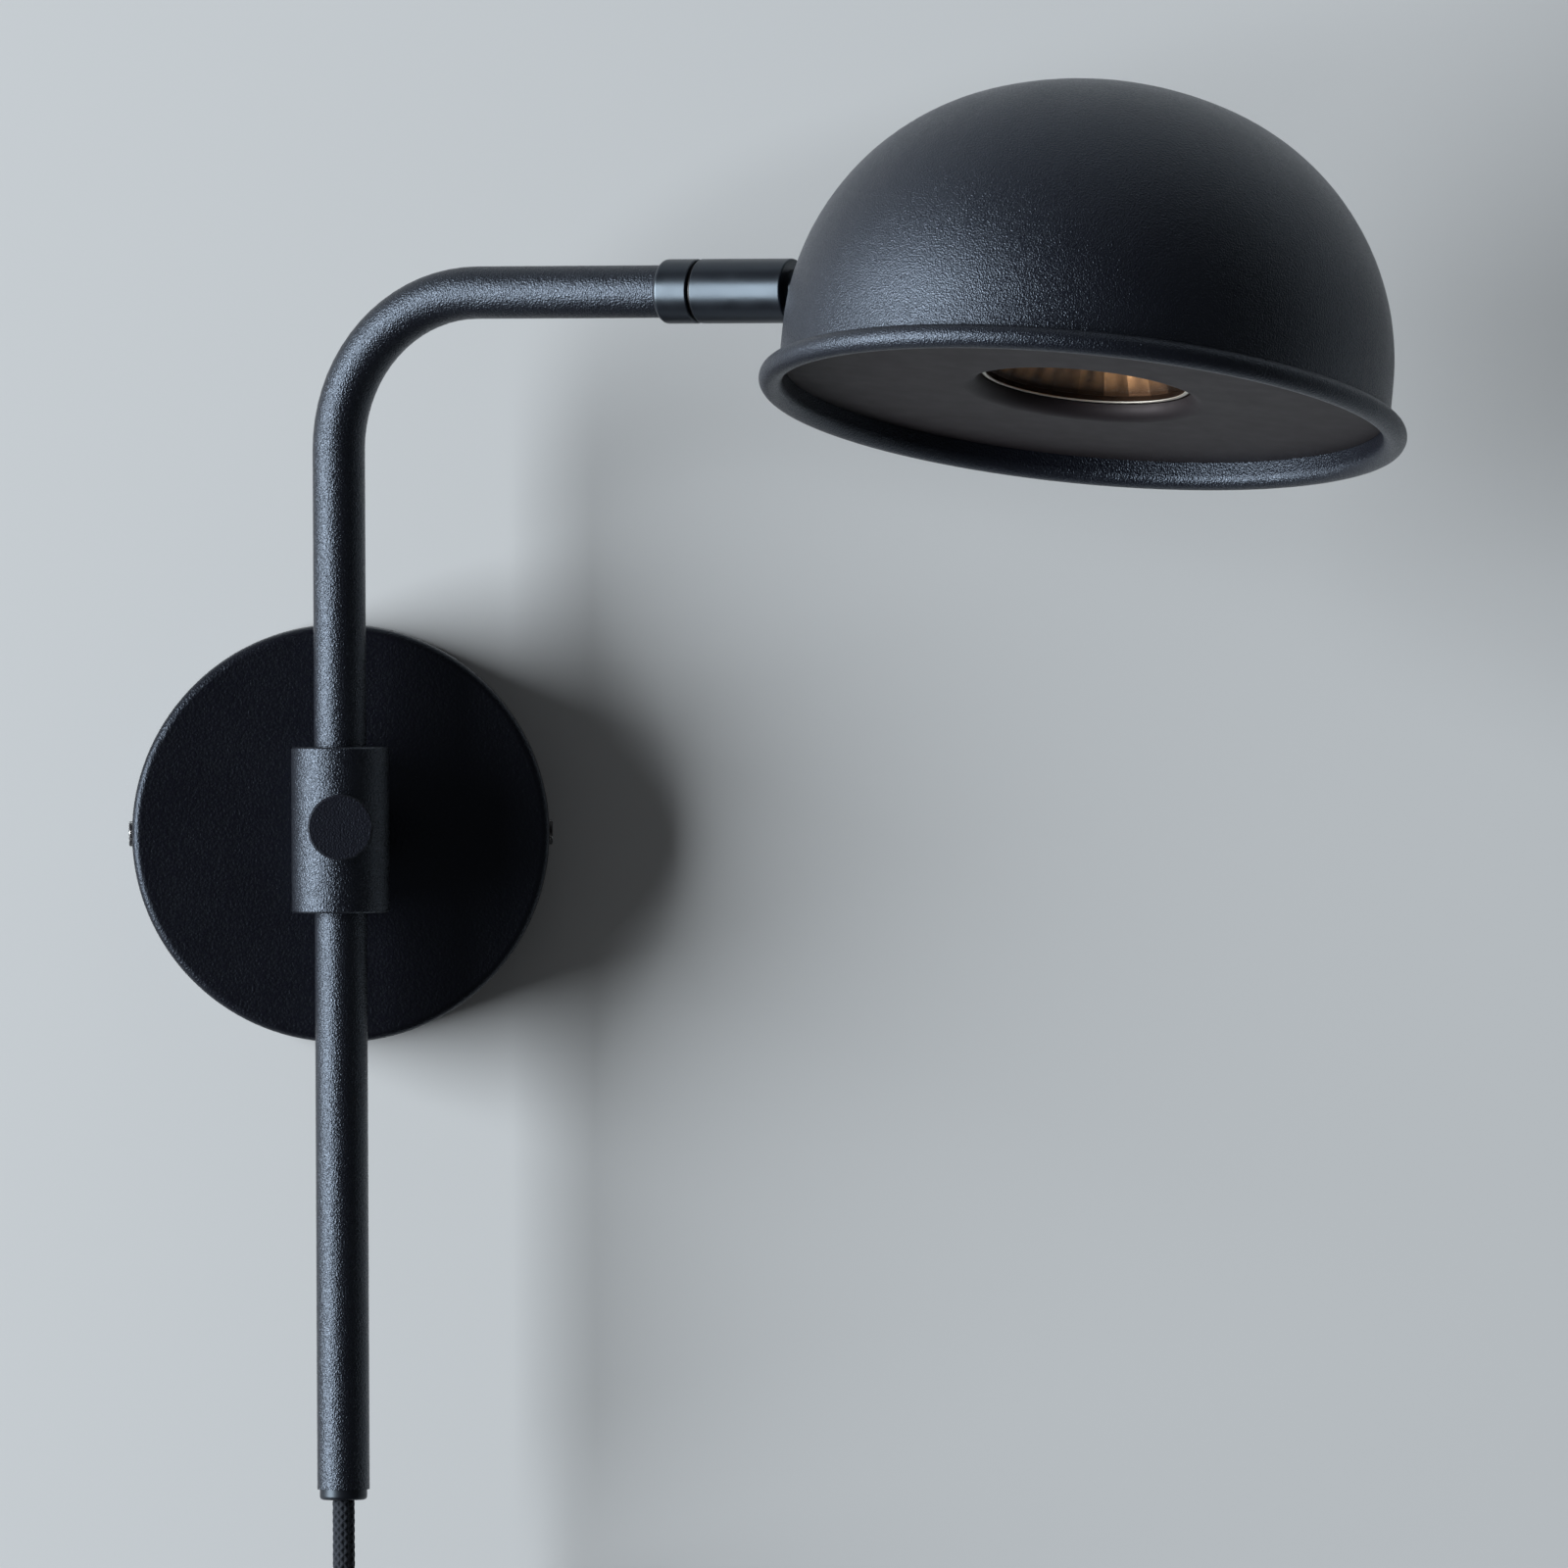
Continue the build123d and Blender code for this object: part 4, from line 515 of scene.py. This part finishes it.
# %% [markdown]
# ## Screws with chipped paint
#
# The two screws at the canopy's sides are painted over, but the driver has chipped them, and bare
# steel glints through. A noise that is cut off sharply says where the paint is gone, and the same
# mask switches metal, colour and roughness and lowers the surface there.

# %% Chip the screws' paint
screw_black = (0.006, 0.006, 0.009, 1)
bare_steel = (0.66, 0.67, 0.68, 1)


def chipped_screw(name):
    """Paint where a noise is low, bare metal where it is high."""
    finish = Finish(name)
    blotch = finish.noise(size=1.1 * MM, detail=3.0, roughness=0.7)
    chip = finish.span(blotch, low=0.53, high=0.57)
    finish.set("Metallic", chip)
    finish.set("Base Color", finish.blend(chip, screw_black, bare_steel))
    finish.set("Roughness", finish.span(chip, low=0.0, high=1.0, to_low=0.42, to_high=0.22))
    finish.bump(1 - chip, strength=0.4, distance=0.05 * MM)
    return finish.material


screw_paint = chipped_screw("chipped_screw_paint")
print("screws:", screw_paint.name)

# %% [markdown]
# ## Plastics, rubber and ceramic
#
# The moulded plastics have the light spark-eroded texture of a mould. Rubber and ceramic are made
# the same way, rougher, and the ceramic with larger grains.


# %% Mould the plastics
def moulded_plastic(name, colour, rough, grain=0.25 * MM):
    """Fine grains that vary colour, roughness and height together."""
    finish = Finish(name)
    spark = finish.noise(grain)
    finish.tones(spark, colour, dark=0.85, light=1.1)
    finish.set("Roughness", finish.spread(spark, to_low=rough - 0.05, to_high=rough + 0.05))
    finish.bump(spark, strength=0.3, distance=0.04 * MM)
    return finish.material


nylon = moulded_plastic("natural_nylon", (0.68, 0.66, 0.6), rough=0.5)
soft_plastic = moulded_plastic("soft_black_plastic", (0.005, 0.005, 0.0075), rough=0.4)
switch_plastic = moulded_plastic("switch_plastic", (0.008, 0.008, 0.0105), rough=0.38,
                                 grain=0.4 * MM)
relief_rubber = moulded_plastic("strain_relief_rubber", (0.012, 0.012, 0.013), rough=0.62)
lead_sheath = moulded_plastic("inner_lead_sheath", (0.02, 0.02, 0.022), rough=0.5)
ceramic = moulded_plastic("white_ceramic", (0.76, 0.74, 0.68), rough=0.45, grain=0.6 * MM)
print("moulded finishes:", [stuff.name for stuff in (nylon, soft_plastic, switch_plastic,
                                                     relief_rubber, lead_sheath, ceramic)])

# %% [markdown]
# ## The lamp in the hole
#
# The reflector lamp has a faceted bowl with a bronze tint, a bright ring round its mouth and a
# clear pane. Only a sliver of it shows through the hole, so what counts is the ring's thin bright
# line and the warm streaks above it. Both follow the lamp's own axis: the height above the mouth
# and the distance from the axis pick out the ring, and the angle round the axis makes the streaks.
# The bowl's warm glow is painted light: the height paints the bowl darker towards its mouth, a
# painted shade, and the glow is painted stronger on the bowl's left side, where the light falls.

# %% Find the lamp's axis
crown = Vector((0.1044, 0.2050, 0.9732)).normalized()
lamp_across = crown.cross(Vector((0.0, 1.0, 0.0))).normalized()
lamp_forward = lamp_across.cross(crown)
pane_low, pane_high = (Vector(corner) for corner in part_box("lamp_glass"))
pane_middle = (pane_low + pane_high) / 2
pane_rise = 0.65 * MM
mouth_height = pane_middle.dot(crown) - pane_rise
print("height of the lamp's mouth along its axis, mm:", round(mouth_height / MM, 2))

# %% Make the bronze bowl
# the darker colour is the bowl's painted shade, the lighter one its painted light
bowl_shadow, painted_lit_bronze = (0.03, 0.016, 0.009, 1), (0.98, 0.52, 0.23, 1)
ring_metal = (0.86, 0.83, 0.76, 1)
ring_heights = (0.08 * MM, 0.2 * MM)
ring_radii = (24.3 * MM, 24.6 * MM)
# heights over which the painted light rises, and the span across the bowl where it is painted
# strongest on the left
painted_light_heights = (2.2 * MM, 7.0 * MM)
painted_light_places = (-11 * MM, 7 * MM)
facets, facet_lean, dimples = 34.0, 120.0, 21.0


def bronze_bowl(name):
    """Mirror with a bright ring in front. Behind it the bronze goes from a painted shade near the
    mouth to painted light higher up, stronger on the left, and its streaks are two sines of the
    angle round the axis, one of them leaning with height."""
    finish = Finish(name, Metallic=1.0)
    height = finish.along(crown) - mouth_height
    across = finish.along(lamp_across) - pane_middle.dot(lamp_across)
    forward = finish.along(lamp_forward) - pane_middle.dot(lamp_forward)
    from_axis = (across * across + forward * forward) ** 0.5
    angle = across.maths("ARCTAN2", across, forward)
    facet = angle.maths("SINE", angle * facets + height * facet_lean)
    dimple = angle.maths("SINE", angle * dimples)
    streak = (finish.span(facet, low=-1.0, high=1.0, to_low=0.0, to_high=0.25)
              + finish.span(dimple, low=-1.0, high=1.0, to_low=0.1, to_high=0.4))
    cloud = finish.noise(size=1.6 * MM, detail=4.0, roughness=0.65)
    # painted light and shade: the streaks and clouds are the bowl's own, but the darkening near the
    # mouth and the stronger left side are painted
    painted_glow_mask = (finish.span(streak + cloud * 0.6, low=0.2, high=0.9)
            * finish.span(height, *painted_light_heights)
            * finish.span(across, *painted_light_places, to_low=0.2))
    ring = (finish.span(height, *ring_heights, to_low=1.0, to_high=0.0)
            * finish.span(from_axis, *ring_radii, to_low=1.0, to_high=0.0))
    bronze = finish.blend(painted_glow_mask, bowl_shadow, painted_lit_bronze)
    finish.set("Base Color", finish.blend(ring, bronze, ring_metal))
    finish.set("Roughness", finish.spread(cloud, to_low=0.42, to_high=0.54))
    finish.bump(streak * 0.6 + cloud * 0.5, strength=0.5, distance=0.25 * MM)
    return finish.material


bronze_mirror = bronze_bowl("bronze_reflector")
print("the bowl's finish has nodes:", len(bronze_mirror.node_tree.nodes))

# %% Make the glass
film_colours = (0.04, 0.04, 0.04, 1), (0.07, 0.07, 0.07, 1)


def clear_pane(name, alpha, rough):
    """Glass as a thin dark film that is nearly clear, so that only its gloss adds light."""
    finish = Finish(name, IOR=1.5)
    film = finish.noise(size=7.0 * MM, detail=3.0)
    finish.set("Base Color", finish.blend(film, *film_colours))
    finish.set("Roughness", finish.spread(film, to_low=0.8 * rough, to_high=1.2 * rough))
    finish.set("Alpha", finish.spread(film, to_low=0.8 * alpha, to_high=1.2 * alpha))
    return finish.material


front_glass = clear_pane("lamp_front_glass", alpha=0.035, rough=0.1)
capsule_glass = clear_pane("lamp_capsule_glass", alpha=0.3, rough=0.08)
print("glass:", [glass.name for glass in (front_glass, capsule_glass)])

# %% [markdown]
# ## The cord's textile
#
# The braid's mounds are in the mesh already. The finish repeats them on the cord's own map, paints
# the hollows between the yarns dark as a painted shade, and adds each yarn's twist of fine threads.

# %% Make the textile
# the hollow colour is the painted shade between the yarns; the other is the yarns' own black
painted_hollow_shade, yarn_black = (0.0003, 0.0003, 0.0005, 1), (0.0105, 0.0105, 0.015, 1)
thread_width, fuzz_size = 0.42 * MM, 0.2 * MM


def textile(name):
    """Yarns as in the mesh: sines of the angle round plus and minus the distance along. The finer
    threads are sines of the same two, closer together, and the higher one is on top."""
    finish = Finish(name, Sheen_Weight=0.06, Sheen_Roughness=0.45,
                    Sheen_Tint=(0.75, 0.85, 1.0, 1.0), Specular_IOR_Level=0.35,
                    Specular_Tint=(0.7, 0.85, 1.0, 1.0))
    uv = finish.node("ShaderNodeUVMap", {"uv_map": "cord_uv"})
    length_way = finish.node("ShaderNodeSeparateXYZ", {}, {0: uv}, "X")
    girth_way = finish.node("ShaderNodeSeparateXYZ", {}, {0: uv}, "Y")

    def crossed(along, round_way):
        first = abs(along.maths("SINE", round_way + along))
        second = abs(along.maths("SINE", round_way - along))
        return first.maths("MAXIMUM", first, second)

    yarns = crossed(length_way * (math.pi * braid_yarns / braid_lead),
                    girth_way * (braid_yarns / (cord_diameter * MM)))
    ply = math.pi / thread_width
    threads = crossed(length_way * ply, girth_way * ply)
    fuzz = finish.noise(fuzz_size)
    # painted shade: the hollows between the yarns and between the finer threads are painted near
    # black
    painted_shade_mask = (finish.span(yarns, low=0.6, high=0.98, to_low=0.0, to_high=0.75)
            + finish.span(threads, low=0.3, high=1.0, to_low=0.0, to_high=0.25))
    finish.set("Base Color", finish.blend(painted_shade_mask, painted_hollow_shade, yarn_black))
    finish.set("Roughness", finish.spread(fuzz, to_low=0.6, to_high=0.8))
    finish.bump(yarns + threads * 0.2 + fuzz * 0.2, strength=1.0, distance=0.3 * MM)
    return finish.material


cord.data.materials.append(textile("cord_textile"))
print("the cord's finish:", cord.data.materials[0].name)

# %% [markdown]
# ## Giving each piece its finish
#
# Each finish is listed once with the pieces that have it. Only the outer pieces are coated or
# painted, so screws and nuts inside keep their plating.

# %% Dress the pieces
finish_of = {
    shade_coat: ["shade"],
    tube_coat: ["arm_tube", "clamp_sleeve", "clamp_standoff"],
    canopy_coat: ["canopy"],
    screw_paint: ["canopy_side_screws"],
    swivel_paint: ["swivel_collar", "swivel_barrel", "shade_neck"],
    knob_coat: ["clamp_knob"],
    pan_paint: ["baffle_pan"],
    zinc: ["wall_bracket", "canopy_stiffener", "clamp_screw", "clamp_washer", "clamp_nut",
           "knob_stud", "swivel_nipple", "nipple_nut", "saddle_washer", "neck_nut", "lamp_yoke",
           "holder_screws", "switch_screws"],
    spring_steel: ["stop_pin", "spring_washer", "baffle_clips"],
    bright_nickel: ["plug_pins", "lamp_pins"],
    bronze_mirror: ["lamp_reflector"],
    nylon: ["clamp_liner", "pressure_pad"],
    cap_paint: ["tube_end_cap"],
    soft_plastic: ["coil_tie", "swivel_washer"],
    switch_plastic: ["switch_front", "switch_rear", "switch_rocker", "plug_body"],
    relief_rubber: ["switch_reliefs", "plug_strain_relief", "cord_grip"],
    lead_sheath: ["arm_lead", "nipple_lead", "head_lead"],
    ceramic: ["lampholder", "lamp_base"],
    front_glass: ["lamp_glass"],
    capsule_glass: ["lamp_capsule"],
}
for material, names in finish_of.items():
    for name in names:
        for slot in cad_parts[name].material_slots:
            slot.material = material
print("pieces dressed:", sum(len(names) for names in finish_of.values()))

# %% [markdown]
# ## The wall
#
# Behind the lamp is a plain pale wall. Behind the canopy it has a round hole, as for a wall box, so
# that the fittings inside the canopy can be seen from behind. The wall is two rings of points, a
# round one at the hole and a square one far out, and it is clear when seen from behind, so that it
# hides nothing.

# %% Build the wall
wall_colour = (0.585, 0.61, 0.63, 1)
wall_half = 3.0
wall_gap = 0.4 * MM
wall_box_radius = 44.0 * MM
wall_sides = 64


def plain_wall(colour):
    """Wall that is seen from the room only: from behind it is clear."""
    finish = Finish("pale_wall", Base_Color=colour, Roughness=0.9, Specular_IOR_Level=0.1)
    finish.set("Alpha", 1 - finish.node("ShaderNodeNewGeometry", out="Backfacing"))
    return finish.material


wall_angle = -np.arange(wall_sides) / wall_sides * 2 * math.pi
wall_way = np.stack([np.cos(wall_angle), np.sin(wall_angle)], axis=1)
wall_rings = np.stack([wall_box_radius * wall_way,
                       wall_half * wall_way / np.abs(wall_way).max(axis=1, keepdims=True)])
wall_depth = np.full(wall_rings.shape[:2], wall_gap)
wall = grid_mesh("wall", np.stack([wall_rings[..., 0], wall_depth, wall_rings[..., 1]], axis=-1))
wall.data.materials.append(plain_wall(wall_colour))
print("wall faces:", len(wall.data.polygons))

# %% [markdown]
# ## The light
#
# One large soft window at the left, about three quarters of the way round from the camera to the
# wall, gives the tube its bright edge and the shade its broad glow. A weak high light and a dim
# room fill the rest, so the faces that look at the camera stay dark. Together they light the wall
# so that its colour shows about as it is written. A small light shines in through the wall's hole,
# for the views from behind.


# %% Set up the lights
def soft_light(name, place, aim, width, height, watts, colour=(1, 1, 1)):
    """Rectangular area light at a place, turned so that it shines at its aim."""
    data = bpy.data.lights.new(name, "AREA")
    data.shape = "RECTANGLE"
    data.size, data.size_y = width, height
    data.energy = watts
    data.color = colour
    light = bpy.data.objects.new(name, data)
    light.location = place
    light.rotation_mode = "QUATERNION"
    light.rotation_quaternion = (Vector(aim) - Vector(place)).to_track_quat("-Z", "Y")
    bpy.context.scene.collection.objects.link(light)


soft_light("window_left", place=(-4.2, -1.78, 0.19), aim=(0.05, -0.05, 0.05), width=2.8,
           height=3.57, watts=545.0, colour=(0.95, 0.98, 1.0))
soft_light("high_fill", place=(0.3, -0.6, 2.3), aim=(0.1, -0.05, 0.0), width=1.4, height=1.4,
           watts=2.0)
soft_light("wall_box_light", place=(0.0, 0.5, 0.1), aim=(0.0, 0.0, 0.0), width=0.5, height=0.5,
           watts=1.2)
print("lights:", len(bpy.data.lights))

# %% Dim the room
room_grey = (0.075, 0.075, 0.075, 1)
world = bpy.data.worlds.new("dim_room")
world.use_nodes = True
background = world.node_tree.nodes["Background"]
background.inputs["Color"].default_value = room_grey
background.inputs["Strength"].default_value = 1.0
bpy.context.scene.world = world
print("room's grey:", room_grey[0])

# %% [markdown]
